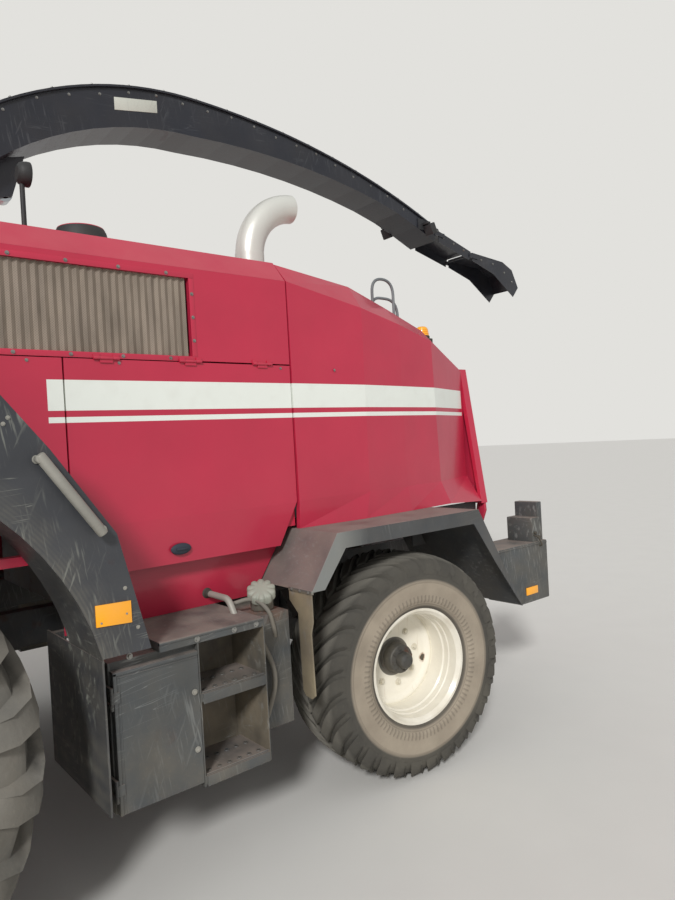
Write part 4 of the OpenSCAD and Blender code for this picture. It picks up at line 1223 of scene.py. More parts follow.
@dataclass
class Assembly:
    """A group of pieces that share the machine's finishes."""

    palette: Palette

    def put(
        self, form: Form, name: str, finish: str, body: str = "chassis", crisp: float = 32.0
    ) -> bpy.types.Object:
        """Makes a form a piece that rides on a body."""
        return form.piece(name, body, finish, self.palette, crisp)

    def pair(self, form: Form, name: str, finish: str) -> bpy.types.Object:
        """Makes a form and its mirror image on the other side one piece."""
        return self.put(form.add(form, Matrix.Diagonal((-1, 1, 1, 1))), name, finish)


@dataclass
class Wheel(Assembly):
    """A tyre with slanted lugs round a rim, with its hub and nuts.

    The wheel is laid out with its axle along Z, its outboard face up. The lean
    of the lugs is in degrees; fill and reach are shares of their pitch and of
    the way to the bead.
    """

    name: str
    place: Matrix
    outer: float
    width: float
    flange: float
    seat: float
    lug_height: float
    lugs: int
    fill: float
    lean: float
    reach: float

    def mount(self, form: Form, part: str, finish: str, crisp: float = 32.0) -> bpy.types.Object:
        """Sets a form at the wheel's place as one of its pieces."""
        placed = Form().add(form, self.place)
        return self.put(placed, f"{self.name}_{part}", finish, self.name, crisp)

    def half_profile(self) -> list[Station]:
        """The tyre's outside from the middle of the tread to the bead, as (radius, across)."""
        half, groove, flange = self.width / 2, self.outer - self.lug_height, self.flange
        seat = self.width * self.seat
        wall = groove - flange
        tread = [(0.0, 0.0), (0.001, 0.35), (0.004, 0.6), (0.012, 0.78), (0.032, 0.9)]
        line = [(groove - drop, half * across) for drop, across in tread]
        bulge = [(0.22, 0.965), (0.42, 0.997), (0.58, 0.995)]
        line += [(groove - wall * drop, half * across) for drop, across in bulge]
        ridge = [(0.24, 0.968), (0.21, 0.975), (0.16, 0.972), (0.14, 0.955)]
        line += [(flange + wall * rise, half * across) for rise, across in ridge]
        bead = [(0.020, 0.019), (0.002, 0.010), (-0.010, -0.006), (-0.026, -0.014)]
        return line + [(flange + rise, seat + across) for rise, across in bead]

    def along(self, share: float) -> tuple[Vector, Vector]:
        """The point and the outward direction at a share of the way to the bead."""
        line = [Vector(p) for p in self.half_profile()]
        steps = [(b - a).length for a, b in zip(line, line[1:])]
        left = share * sum(steps)
        for a, b, step in zip(line, line[1:], steps):
            if left <= step or b is line[-1]:
                d = (b - a).normalized()
                return a + d * min(left, step), Vector((d.y, -d.x))
            left -= step
        raise ValueError("share is from 0 to 1")

    def lug(self) -> Form:
        """One lug of the outboard half, laid on the tyre's curve."""
        part = bmesh.new()
        bmesh.ops.create_cube(part, size=1.0)
        rows = [e for e in part.edges if abs(e.verts[0].co.x - e.verts[1].co.x) > 0.5]
        bmesh.ops.subdivide_edges(part, edges=rows, cuts=9, use_grid_fill=True)
        upper = [e for e in part.edges if min(v.co.z for v in e.verts) > 0.4]
        tops = [e for e in upper if e.calc_face_angle(0) > 0.5]
        pitch = 2 * math.pi / self.lugs
        half = self.width / 2
        for v in part.verts:
            u, across, up = v.co.x + 0.5, v.co.y, v.co.z + 0.5
            spot, out = self.along(0.02 + u * self.reach)
            fade = min(1.0, (1 - u) * 3.2)
            if up > 0.5:
                spot = spot + out * self.lug_height * (0.12 + 0.88 * fade**0.6)
            else:
                spot = spot - out * 0.006
            wide = pitch * self.fill * (1 - 0.18 * up) * (1 + 0.2 * u) * (0.8 if u < 0.05 else 1.0)
            turn = math.radians(self.lean) * min(1.0, spot.y / half)
            turn = across * wide + turn + pitch * 0.245
            v.co = (spot.x * math.cos(turn), spot.x * math.sin(turn), spot.y)
        Form.bevel(part, tops, 0.006, 1)
        bmesh.ops.recalc_face_normals(part, faces=part.faces)
        return Form().take(part)

    def tyre(self) -> None:
        """Builds the tyre."""
        line = self.half_profile()
        tyre = Form().lathe([(r, -z) for r, z in reversed(line)] + line[1:], 120)
        lug = self.lug()
        pitch = 360 / self.lugs
        inboard = Matrix.Diagonal((1, 1, -1, 1))
        for i in range(self.lugs):
            tyre.add(lug, Matrix.Rotation(math.radians(i * pitch), 4, "Z"))
            tyre.add(lug, Matrix.Rotation(math.radians((i + 0.5) * pitch), 4, "Z") @ inboard)
        lug.bm.free()
        thing = self.mount(tyre, "tread", self.name.replace("wheel", "rubber"), 40)
        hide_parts(self.name.replace("wheel", "tyre"))

    def around(self, radius: float, count: int, height: float, start: float = 0.0) -> list[Point]:
        """Points on a circle round the axle."""
        turns = (start + 2 * math.pi * i / count for i in range(count))
        return [(radius * math.cos(a), radius * math.sin(a), height) for a in turns]

    def stem(self, radius: float, height: float) -> None:
        """Builds the valve stem."""
        turn = math.radians(205)
        x, y = radius * math.cos(turn), radius * math.sin(turn)
        stem = Form().rod((x, y, height), (x * 1.01, y * 1.01, height + 0.034), 0.006, 12, 0.001)
        stem.rod((x, y, height + 0.016), (x, y, height + 0.026), 0.0085, 6, 0.001)
        self.mount(stem, "valve", "steel")


@dataclass
class FrontWheel(Wheel):
    """A driven front wheel, whose rim is a solid of the frame."""

    outer: float = 0.9
    width: float = 0.8
    flange: float = 0.436
    seat: float = 0.42
    lug_height: float = 0.052
    lugs: int = 18
    fill: float = 0.40
    lean: float = -26.0
    reach: float = 0.62

    def build(self) -> None:
        """Builds the tyre, the final drive's cover and its nuts."""
        self.tyre()
        cover = [(0, 0.118), (0.05, 0.118), (0.062, 0.106), (0.066, 0.0805), (0.0, 0.0805)]
        hub = Form().lathe(cover, 48, edge=0.003)
        hub.bolts(self.around(0.040, 6, 0.118), UP, 0.008)
        self.mount(hub, "hub_cap", "hub")
        self.mount(Form().bolts(self.around(0.160, 10, 0.0402), UP, 0.018), "nuts", "cream")
        self.stem(0.352, 0.128)


@dataclass
class RearWheel(Wheel):
    """A steered rear wheel with a deep rim."""

    outer: float = 0.635
    width: float = 0.5
    flange: float = 0.33
    seat: float = 0.43
    lug_height: float = 0.020
    lugs: int = 30
    fill: float = 0.66
    lean: float = -24.0
    reach: float = 0.52
    hole_turn: float = math.radians(76)

    def build(self) -> None:
        """Builds the tyre, the stepped hub, its studs and nuts, and the rim."""
        self.tyre()
        cap = [(0, 0.116), (0.022, 0.116), (0.030, 0.112), (0.0425, 0.104), (0.048, 0.092)]
        hub = Form().lathe(cap + [(0.0490, 0.0515), (0, 0.0515)], 48, edge=0.0015)
        drum = [(0.0475, 0.0585), (0.078, 0.0545), (0.0835, 0.048), (0.0895, -0.014)]
        drum += [(0.1005, -0.0175), (0.1005, -0.0225), (0.0475, -0.0225)]
        hub.lathe(drum, 56, ring=True)
        hub.bolts(self.around(0.066, 8, 0.0560, 0.2), UP, 0.008)
        hub.bolts(self.around(0.024, 4, 0.1145), UP, 0.004)
        self.mount(hub, "hub", "hub")
        self.mount(Form().bolts(self.around(0.163, 8, -0.0278, 0.15), UP, 0.014), "nuts", "nut")
        self.rim()
        bead = [(0.2770 + x, y - 0.003) for x, y, _ in self.around(0.006, 8, 0)]
        weld = Form().lathe(bead, 96, ring=True)
        weld.slab(
            [(-0.232, -0.030), (-0.196, -0.030), (-0.196, 0.022), (-0.232, 0.022)],
            -0.030, -0.008, Axis.Z, 0.003,
        )
        self.mount(weld, "weld", "cream")
        self.stem(0.262, -0.012)

    def rim(self) -> None:
        """Builds the rim's barrel and its deep, flat disc, with two black cups as painted shade
        where the hand holes are.
        """
        half = [(0.291, 0.0975), (0.305, 0.205), (0.330, 0.215), (0.330, 0.223), (0.316, 0.223)]
        half += [(0.297, 0.203), (0.292, 0.150), (0.286, 0.145), (0.284, 0.112), (0.276, 0.104)]
        rim = Form().lathe(half + [(r, -z) for r, z in reversed(half)], 96, ring=True)
        disc = [(0, 0.050), (0.080, 0.044), (0.086, -0.020), (0.112, -0.028), (0.236, -0.028)]
        disc += [(0.242, -0.026), (0.256, -0.012), (0.262, -0.010), (0.283, -0.006)]
        disc += [(0.283, -0.020), (0.264, -0.024), (0.244, -0.040), (0.110, -0.040)]
        disc += [(0.100, -0.100), (0.047, -0.100), (0.047, 0.020), (0, 0.020)]
        rim.lathe(disc, 96)
        thing = self.mount(rim, "rim", self.name.replace("wheel", "rim"))
        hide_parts(self.name.replace("wheel", "rim"))
        # Painted shade: the hand holes are not cut; black rubber cups stand in for them.
        holes = Form()
        shade_cup_profile = [(0.0, -0.0265), (0.0190, -0.0265), (0.0200, -0.0275), (0.0200, -0.034)]
        for spot in self.around(0.232, 2, 0.0, self.hole_turn):
            holes.lathe(shade_cup_profile + [(0.0, -0.034)], 32, place=Matrix.Translation(spot))
        self.mount(holes, "hand_holes", "rubber")


@dataclass
class RunningGear(Assembly):
    """The four wheels at their places."""

    def build(self) -> None:
        """Builds the wheels."""
        upright = Matrix.Rotation(math.pi / 2, 4, "Y")
        turn = Matrix.Rotation(math.radians(STEER), 4, "Z")
        for side in Side:
            word = side.name.lower()
            outward = Matrix.Diagonal((side.value, 1, 1, 1)) @ upright
            place = Matrix.Translation(front_hub(side)) @ outward
            FrontWheel(self.palette, "front_wheel_" + word, place).build()
            place = Matrix.Translation(rear_hub(side)) @ turn @ outward
            RearWheel(self.palette, "rear_wheel_" + word, place).build()


@dataclass
class RoofFittings(Assembly):
    """Lamps, dome, beacon and bent rails on the roofs.

    Each hoop of the rails is given by its X, its two feet's stations and its top.
    """

    post: Point = (0.78, -1.86, 2.9818)
    dome: Point = (0.90, -1.63, 2.972)
    beacon: Point = (0.84, 0.87, 2.676)
    rail_r: float = 0.010
    hoops: tuple[tuple[float, ...], ...] = (
        (0.90, 0.33, 0.53, 3.055),
        (0.84, 0.375, 0.625, 2.940),
    )
    cab_lamps: tuple[float, ...] = (-0.64, -0.26, 0.26, 0.64)
    cab_roof: float = 3.7303
    tail_y: float = 1.6403
    tail_x: Station = (1.04, 1.26)

    def build(self) -> None:
        """Builds the fittings."""
        self.lamps()
        self.beacon_light()
        self.rails()
        profile = [(0, 0.106), (0.085, 0.104), (0.113, 0.094), (0.121, 0.078), (0.134, 0.02)]
        cover = Form().lathe(profile + [(0.150, 0.012), (0.150, 0.002), (0, 0.002)], 56)
        turns = [math.pi * i / 3 for i in range(6)]
        cover.bolts([(0.142 * math.cos(a), 0.142 * math.sin(a), 0.011) for a in turns], UP, 0.006)
        self.put(Form().add(cover, moved(*self.dome)), "roof_dome", "plastic")

    def lamps(self) -> None:
        """Builds the lamps' housings, posts and lenses."""
        bodies, clear, red = Form(), Form(), Form()
        z = self.cab_roof
        for x in self.cab_lamps:
            bodies.rod(at(x, -4.39, z), at(x, -4.39, z + 0.035), 0.014, 16)
            bodies.block(at(x - 0.075, -4.425, z + 0.025), at(x + 0.075, -4.355, z + 0.115), 0.012)
            clear.block(at(x - 0.064, -4.429, z + 0.035), at(x + 0.064, -4.422, z + 0.105), 0.003)
        self.post_lamp(bodies, clear)
        y = self.tail_y
        for side in Side:
            low, high = sorted(side.value * x for x in self.tail_x)
            bodies.block(at(low, y, 0.74), at(high, y + 0.034, 0.86), 0.006)
            red.block(at(low + 0.010, y + 0.030, 0.75), at(high - 0.010, y + 0.040, 0.85), 0.004)
            corners = [at(low + 0.02, y + 0.033, 0.756), at(high - 0.02, y + 0.033, 0.844)]
            bodies.bolts(corners, (0, 1, 0), 0.004)
        self.put(bodies, "lamp_housings", "plastic")
        self.put(clear, "lamp_lenses", "white_lens")
        self.put(red, "tail_lenses", "red_lens")

    def post_lamp(self, bodies: Form, clear: Form) -> None:
        """Adds the round lamp on its post, with its foot plate and bolts."""
        x, y, z = self.post
        bodies.block(at(x - 0.03, y - 0.03, z), at(x + 0.03, y + 0.03, z + 0.010), 0.002)
        bodies.rod(at(x, y, z), at(x, y, z + 0.345), 0.012, 20)
        feet = [at(x + a, y + b, z + 0.010) for a in (-0.02, 0.02) for b in (-0.02, 0.02)]
        bodies.bolts(feet, UP, 0.005)
        shell = [(0, -0.022), (0.034, -0.022), (0.050, -0.012), (0.056, 0.0), (0.060, 0.020)]
        shell += [(0.060, 0.036), (0.054, 0.038), (0, 0.034)]
        lens = [(0, 0.0380), (0.03, 0.0375), (0.052, 0.0365), (0.0535, 0.033), (0, 0.033)]
        toward = moved(x, y, z + 0.360) @ Matrix.Rotation(-math.pi / 2, 4, "X")
        bodies.add(Form().lathe(shell, 44, edge=0.002), toward)
        clear.add(Form().lathe(lens, 36), toward)

    def rails(self) -> None:
        """Builds the two hoops of bent tube on the rear hood, with foot plates."""
        form = Form()
        plate = [(0, 0.010), (0.026, 0.010), (0.030, 0.0), (0, 0.0)]
        for x, y0, y1, top in self.hoops:
            feet = [2.815 - 0.235 * (y - 0.27) for y in (y0, y1)]
            path = [at(x, y0, feet[0] - 0.02), at(x, y0, top), at(x, y1, top)]
            path.append(at(x, y1, feet[1] - 0.02))
            form.tube(bent(path, (y1 - y0) / 2, 8), self.rail_r, 18)
            for y, foot in zip((y0, y1), feet):
                form.lathe(plate, 28, place=moved(x, y, foot - 0.004))
        self.put(form, "roof_rails", "grey")

    def beacon_light(self) -> None:
        """Builds the beacon with its base."""
        x, y, top = self.beacon
        low, front, rear = top - 0.092, y - 0.06, y + 0.06
        wedge = [(front, low + 0.03), (front, top), (rear, top), (rear, low)]
        base = Form().slab(stations(wedge), x - 0.05, x + 0.05, Axis.X, 0.003)
        foot = [(0, 0.021), (0.052, 0.021), (0.056, 0.017), (0.056, -0.001), (0, -0.001)]
        base.lathe(foot, 44, place=moved(x, y, top), edge=0.001)
        self.put(base, "beacon_base", "rubber")
        lens = [(0, 0.090), (0.028, 0.088), (0.040, 0.080), (0.045, 0.066), (0.051, 0.022)]
        glow = Form().lathe(lens + [(0.051, 0.020), (0, 0.020)], 44)
        for i in range(3):
            z = 0.032 + 0.014 * i
            rib = [(0.0445, z), (0.0525 - 0.0018 * i, z + 0.002), (0.0445, z + 0.004)]
            glow.lathe(rib, 44, ring=True)
        self.put(Form().add(glow, moved(x, y, top)), "beacon_lens", "amber")


@dataclass
class HoodTrim(Assembly):
    """Frames, screws, latches, catches and lower panels of the hood."""

    half: float = 1.256
    grille: tuple[float, ...] = (-2.190, -1.245, 2.410, 2.795)
    low_panel: Point = (1.150, 1.1503, 1.440)
    panel_front: float = -1.900

    def build(self) -> None:
        """Builds the trim on both sides."""
        y0, y1, z0, z1 = self.grille
        frame, screws = Form(), Form()
        rim, out = 0.026, self.half + 0.003
        for low, high in (
            ((y0 - rim, z1), (y1 + rim, z1 + rim)),
            ((y0 - rim, z0 - rim), (y1 + rim, z0)),
            ((y0 - rim, z0), (y0, z1)),
            ((y1, z0), (y1 + rim, z1)),
        ):
            frame.block(at(self.half - 0.006, *low), at(out, *high), 0.0012)
        for i in range(4):
            y = y0 + (y1 - y0) * (i + 0.5) / 4
            screws.bolts([at(out, y, z0 - rim / 2), at(out, y, z1 + rim / 2)], OUT, 0.006)
        upright = [at(out, y1 + rim / 2, z0 + (z1 - z0) * t) for t in (0.2, 0.5, 0.8)]
        screws.bolts(upright, OUT, 0.006)
        below = [at(self.half + 0.0005, y, 2.385 - 0.02) for y in (-2.02, -1.62, -0.72, -0.34)]
        screws.bolts(below, OUT, 0.005)
        self.pair(frame, "grille_frames", "hood")
        self.pair(screws, "grille_screws", "steel")
        self.latches()
        x, z0, z1 = self.low_panel
        front = self.panel_front
        rear0, rear1 = (-0.860 + (z - 1.210) * 0.184 / 0.274 for z in (z0, z1))
        outline = stations([(front, z0), (rear0, z0), (rear1, z1), (front, z1)])
        panel = Form().slab(outline, x - 0.003, x, Axis.X, 0.001)
        panel.block(at(x - 0.012, front, z1 - 0.004), at(x, -0.720, z1), 0.001)
        self.pair(panel, "lower_side_panels", "hood")

    def latches(self) -> None:
        """Builds the side doors' sunken latches and the rear door's catches."""
        dish = [(0, 0.010), (0.012, 0.010), (0.040, 0.008), (0.052, 0.003), (0.054, 0.0), (0, 0.0)]
        for side in Side:
            word = side.name.lower()
            squeezed = moved(side.value * (self.half + 0.0005), -1.366, 1.474)
            squeezed = squeezed @ Matrix.Diagonal((1, 1, 0.52, 1))
            squeezed = squeezed @ Matrix.Rotation(side.value * math.pi / 2, 4, "Y")
            latch = Form().add(Form().lathe(dish, 40), squeezed)
            x0, x1 = sorted(side.value * (self.half + out) for out in (0.006, 0.016))
            latch.block(at(x0, -1.395, 1.468), at(x1, -1.337, 1.480), 0.003)
            self.put(latch, "side_door_latch_" + word, "latch", word + "_side_door")
        catch = Form()
        for x in (-0.86, 0.86):
            catch.block(at(x - 0.045, 1.270, 1.62), at(x + 0.045, 1.282, 1.74), 0.003)
            catch.rod(at(x, 1.280, 1.66), at(x, 1.296, 1.66), 0.014, 20, 0.002)
            catch.block(at(x - 0.006, 1.290, 1.63), at(x + 0.006, 1.302, 1.70), 0.002)
        self.put(catch, "rear_door_catches", "sign", "rear_hood_door")


@dataclass
class SpoutTrim(Assembly):
    """Flanges, bolts, lamps and the blank sign of the spout.

    The spout's back follows two arcs that meet at its peak.
    """

    peak_y: float = -0.550
    front_c: float = 2.040
    front_r: float = 2.300
    rear_c: float = -1.860
    rear_r: float = 6.200
    half: float = 0.150
    flange: float = 0.016

    def spot(self, y: float, inset: float) -> Vector:
        """A point on the spout's side at a station, some way below its back."""
        front = y < self.peak_y
        centre, r = (self.front_c, self.front_r) if front else (self.rear_c, self.rear_r)
        r -= inset
        return Vector((y, centre + math.sqrt(max(0.0, r * r - (y - self.peak_y) ** 2))))

    def strip(self, form: Form, ends: Station, insets: Station, side: Side, out: float) -> None:
        """Adds a strip that follows the spout's side.

        Args:
            form: What it is added to.
            ends: Its first and last station.
            insets: Its edges below the spout's back.
            side: The side of the spout.
            out: How far it stands out.
        """
        y0, y1 = ends
        count = max(6, round((y1 - y0) / 0.09))
        ys = [y0 + (y1 - y0) * i / count for i in range(count + 1)]
        line = [self.spot(y, insets[0]) for y in ys]
        line += [self.spot(y, insets[1]) for y in reversed(ys)]
        face = side.value * self.half
        x0, x1 = sorted((face - side.value * 0.001, face + side.value * out))
        form.slab(stations(line), x0, x1)

    def build(self) -> None:
        """Builds the trim on the spout and its flaps."""
        seams, heads, flange = Form(), Form(), Form()
        for side in Side:
            self.strip(flange, (-2.20, 1.90), (0.001, 0.014), side, self.flange)
            for ends in ((-1.98, -1.14), (-0.78, -0.26), (-0.24, 0.04)):
                self.strip(seams, ends, (0.020, 0.024), side, 0.0025)
            for i in range(17):
                p = self.spot(-2.2 + i * 0.24, 0.0)
                heads.bolts([at(side.value * (self.half + 0.009), p.x, p.y - 0.001)], UP, 0.006)
            for i in range(19):
                y = -1.95 + i * 0.19
                q = self.spot(y, 0.045 + 0.01 * math.sin(9 * y))
                heads.bolts([at(side.value * self.half, *q)], (side.value, 0, 0), 0.006)
        self.put(seams, "spout_seams", "spout", "spout")
        self.put(flange, "spout_flanges", "spout", "spout")
        self.put(heads, "spout_bolts", "steel", "spout")
        corners = ((-1.10, 0.072), (-0.81, 0.072), (-0.81, 0.150), (-1.10, 0.150))
        outline = stations(self.spot(*corner) for corner in corners)
        sign = Form().slab(outline, self.half, self.half + 0.003, Axis.X, 0.0008)
        self.put(sign, "spout_blank_sign", "sign", "spout")
        self.lamps()
        self.rivets()

    def lamps(self) -> None:
        """Builds the two work lamps on their brackets near the spout's end."""
        bodies, glass = Form(), Form()
        tilt = Matrix.Rotation(math.radians(24), 4, "X")
        for side, y in ((1, 1.70), (-1, 1.56)):
            z = self.spot(y, 0.06).y
            x0, x1 = sorted((side * (self.half - 0.002), side * (self.half + 0.012)))
            bodies.block(at(x0, y - 0.06, z - 0.05), at(x1, y + 0.05, z + 0.045), 0.002)
            x0, x1 = sorted((side * (self.half + 0.010), side * (self.half + 0.075)))
            bodies.block(at(x0, y - 0.01, z - 0.012), at(x1, y + 0.03, z + 0.010), 0.002)
            where = moved(side * (self.half + 0.052), y + 0.05, z - 0.045) @ tilt
            bodies.block((-0.045, -0.038, -0.050), (0.045, 0.030, 0.045), 0.008, where)
            glass.block((-0.040, 0.028, -0.045), (0.040, 0.034, 0.040), 0.002, where)
        self.put(bodies, "spout_lamp_bodies", "plastic", "spout")
        self.put(glass, "spout_lamp_lenses", "white_lens", "spout")

    def rivets(self) -> None:
        """Builds the rivets of the two flaps."""
        first = [(1.98, 3.775), (2.12, 3.740), (2.26, 3.700)]
        second = [(2.52, 3.640), (2.70, 3.625), (2.88, 3.560), (3.00, 3.480)]
        for body, rows in (("first_flap", first), ("second_flap", second)):
            heads = Form().bolts([at(self.half, y, z) for y, z in rows], OUT, 0.007)
            heads.add(heads, Matrix.Diagonal((-1, 1, 1, 1)))
            self.put(heads, body + "_rivets", "steel", body)


@dataclass
class MudguardTrim(Assembly):
    """Handles, reflectors and bolts of the front mudguards."""

    face: float = 1.660

    def build(self) -> None:
        """Builds the trim on both sides."""
        x = self.face
        corners = [(-1.938, 1.371), (-1.796, 1.366), (-1.796, 1.279), (-1.938, 1.287)]
        # Painted reflection: the amber finish makes this reflector glow.
        lens = Form().slab(stations(corners), x, x + 0.006, Axis.X, 0.001)
        self.pair(lens, "guard_reflectors", "amber")
        spots = [(-1.815, 1.418), (-1.771, 1.254), (-2.223, 2.078), (-2.206, 2.100)]
        spots += [(-2.75, 2.12), (-2.30, 2.13)]
        heads = Form().bolts([at(x, y, z) for y, z in spots], OUT, 0.0055)
        heads.bolts([at(x + 0.006, -1.918, 1.300), at(x + 0.006, -1.816, 1.318)], OUT, 0.003)
        for y, z in ((-2.118, 1.945), (-1.908, 1.665)):
            heads.rod(at(x, y, z), at(x + 0.006, y, z), 0.016, 28, 0.001)
            heads.rod(at(x + 0.026, y, z), at(x + 0.0570, y, z), 0.0165, 28, 0.006)
        pipe = x + 0.0425
        heads.rod(at(pipe, -2.1215, 1.962), at(pipe, -1.901, 1.6455), 0.0205, 28, 0.008)
        self.pair(heads, "guard_bolts", "pale_tube")


@dataclass
class PlatformTrim(Assembly):
    """Bolts, treads with painted-shade holes, box door folds, grab tube, hoses and the filler."""

    outer: float = 1.600
    top: float = 1.150
    foot: Point = (1.305, -0.955, 1.108)
    treads_z: Station = (0.526, 0.886)
    tread_y: Station = (-1.472, -1.148)
    grab: Point = (1.150, -1.185, 1.212)

    def build(self) -> None:
        """Builds the trim on both sides."""
        self.treads()
        self.box_door()
        self.filler()
        self.hoses()
        x = self.outer
        bolts = [at(x, y, self.top - 0.022) for y in (-1.79, -1.486, -1.300, -1.183)]
        self.pair(Form().bolts(bolts, OUT, 0.009), "platform_bolts", "steel")
        z = self.top - 0.007
        edge = Form().rod(at(x - 0.004, -1.660, z), at(x - 0.004, -1.1405, z), 0.008, 20, 0.001)
        self.pair(edge, "platform_rolled_edges", "plate")
        x, y, z = self.grab
        path = bent([at(x, y, z), at(1.365, y, z), at(1.418, y, 1.138)], 0.035)
        self.pair(Form().tube(path, 0.016, 20), "grab_tubes", "pale_tube")
        boot = [(0, 0.036), (0.017, 0.036), (0.020, 0.030), (0.021, 0.006), (0.027, 0.0), (0, 0.0)]
        place = moved(x + 0.002, y, z) @ Matrix.Rotation(math.pi / 2, 4, "Y")
        self.pair(Form().add(Form().lathe(boot, 32), place), "grab_tube_boots", "rubber")

    def treads(self) -> None:
        """Builds the treads' front strips with their upturned rims, hole collars, and black pits of
        painted shade in the holes.
        """
        strips, pits = Form(), Form()
        x = self.outer
        y0, y1 = self.tread_y
        collar = [(0.009, 0.0), (0.0125, 0.0), (0.0115, 0.003), (0.009, 0.004)]
        for z in self.treads_z:
            low, high = z - 0.046, z - 0.002
            outline = stations([(y0, low), (y1, low), (y1, high), (y0, high)])
            strips.slab(outline, x - 0.001, x + 0.004, Axis.X, 0.001)
            for i in range(6):
                y = -1.44 + 0.052 * i
                for hole in (x - 0.045, x - 0.16):
                    strips.lathe(collar, 20, ring=True, place=moved(hole, y, z))
                    # Painted shade: the holes are not cut; black rubber pits stand in for them.
                    pits.rod(at(hole, y, z - 0.002), at(hole, y, z + 0.0015), 0.0092, 20)
            z += 0.001
            strips.rod(at(x - 0.012, -1.474, z), at(x - 0.012, -1.146, z), 0.005, 12)
        self.pair(strips, "tread_strips", "door_plate")
        self.pair(pits, "tread_holes", "rubber")

    def box_door(self) -> None:
        """Builds the box door's folded rim and its round bolts."""
        x, y0, y1, z0, z1 = self.outer, -1.864, -1.488, 0.502, 1.078
        folds = Form()
        for low, high, out, edge in (
            ((y0, z1 - 0.016), (y1, z1 - 0.002), 0.005, 0.002),
            ((y0, z0), (y0 + 0.014, z1 - 0.004), 0.005, 0.002),
            ((y0 + 0.022, z0 + 0.004), (y0 + 0.027, z1 - 0.022), 0.0025, 0.001),
            ((y0 + 0.020, z1 - 0.028), (y1 - 0.004, z1 - 0.023), 0.0025, 0.001),
        ):
            folds.block(at(x - 0.002, *low), at(x + out, *high), edge)
        self.put(folds, "box_door_folds", "door_plate", "box_door")
        heads = Form()
        y = y1 - 0.024
        for z in (0.905, 0.656):
            heads.rod(at(x, y, z), at(x + 0.005, y, z), 0.013, 28, 0.001)
            heads.rod(at(x + 0.005, y, z), at(x + 0.011, y, z), 0.009, 28, 0.002)
        self.put(heads, "box_door_bolts", "pale_tube", "box_door")

    def filler(self) -> None:
        """Builds the leaning filler neck with its ribbed cap."""
        lean = moved(*self.foot) @ Matrix.Rotation(math.radians(-33), 4, "Z")
        lean = lean @ Matrix.Rotation(math.radians(34), 4, "Y")
        profile = [(0, 0.153), (0.030, 0.153), (0.046, 0.151), (0.066, 0.148)]
        profile += [(0.0728, 0.141), (0.0735, 0.104), (0.067, 0.100), (0, 0.100)]
        cap = Form().lathe(profile, 120)
        smooth, ribs = 0.035, 10
        for v in cap.bm.verts:
            r = math.hypot(v.co.x, v.co.y)
            if r > smooth:
                wave = 0.5 + 0.5 * math.cos(ribs * math.atan2(v.co.y, v.co.x))
                cut = (1 - wave) ** 2 * min(1.0, (r - smooth) / 0.03)
                v.co.x *= 1 - 0.10 * cut
                v.co.y *= 1 - 0.10 * cut
                v.co.z -= 0.006 * cut
        self.put(Form().add(cap, lean), "filler_cap", "cap", crisp=50)
        profile = [(0.0, 0.104), (0.058, 0.104), (0.0605, 0.095), (0.0605, 0.080)]
        profile += [(0.0585, 0.074), (0.0585, -0.045), (0.0, -0.045)]
        self.put(Form().add(Form().lathe(profile, 56), lean), "filler_neck", "tank")

    def hoses(self) -> None:
        """Builds the two held hoses beside the tank."""
        long_way = [(1.425, -1.118, 1.00), (1.450, -1.060, 0.99), (1.462, -0.985, 0.80)]
        long_way += [(1.450, -1.060, 0.60), (1.425, -1.118, 0.585)]
        hose = Form().tube(bent([at(*p) for p in long_way], 0.10, 8), 0.013, 18)
        short_way = [(1.30, -1.125, 1.165), (1.34, -1.06, 1.185), (1.400, -1.035, 1.180)]
        short_way += [(1.436, -0.995, 1.12), (1.440, -0.975, 1.02), (1.425, -0.965, 0.99)]
        hose.tube(bent([at(*p) for p in short_way], 0.035, 6), 0.011, 16)
        self.put(hose, "tank_hoses", "hose", crisp=60)


@dataclass
class WheelFlaps(Assembly):
    """Rubber flaps that hang from the fenders ahead of the rear wheels."""

    station: float = -0.848 + AXLE_Y

    def build(self) -> None:
        """Builds the flaps, each on its strip with three bolts."""
        y = self.station
        outline = [(1.400, 1.200), (1.400, 1.150), (1.470, 1.090), (1.478, 0.700), (1.500, 0.674)]
        outline += [(1.550, 0.668), (1.578, 0.690), (1.570, 1.000), (1.590, 1.060), (1.590, 1.200)]
        flap = Form().slab(outline, y, y + 0.008, Axis.Y, 0.0015)
        flap.block((1.400, y - 0.004, 1.198), (1.599, y + 0.010, 1.218), 0.002)
        self.pair(flap, "wheel_flaps", "fender")
        heads = Form().bolts([(x, y - 0.004, 1.208) for x in (1.43, 1.50, 1.57)], (0, -1, 0), 0.006)
        self.pair(heads, "flap_bolts", "steel")


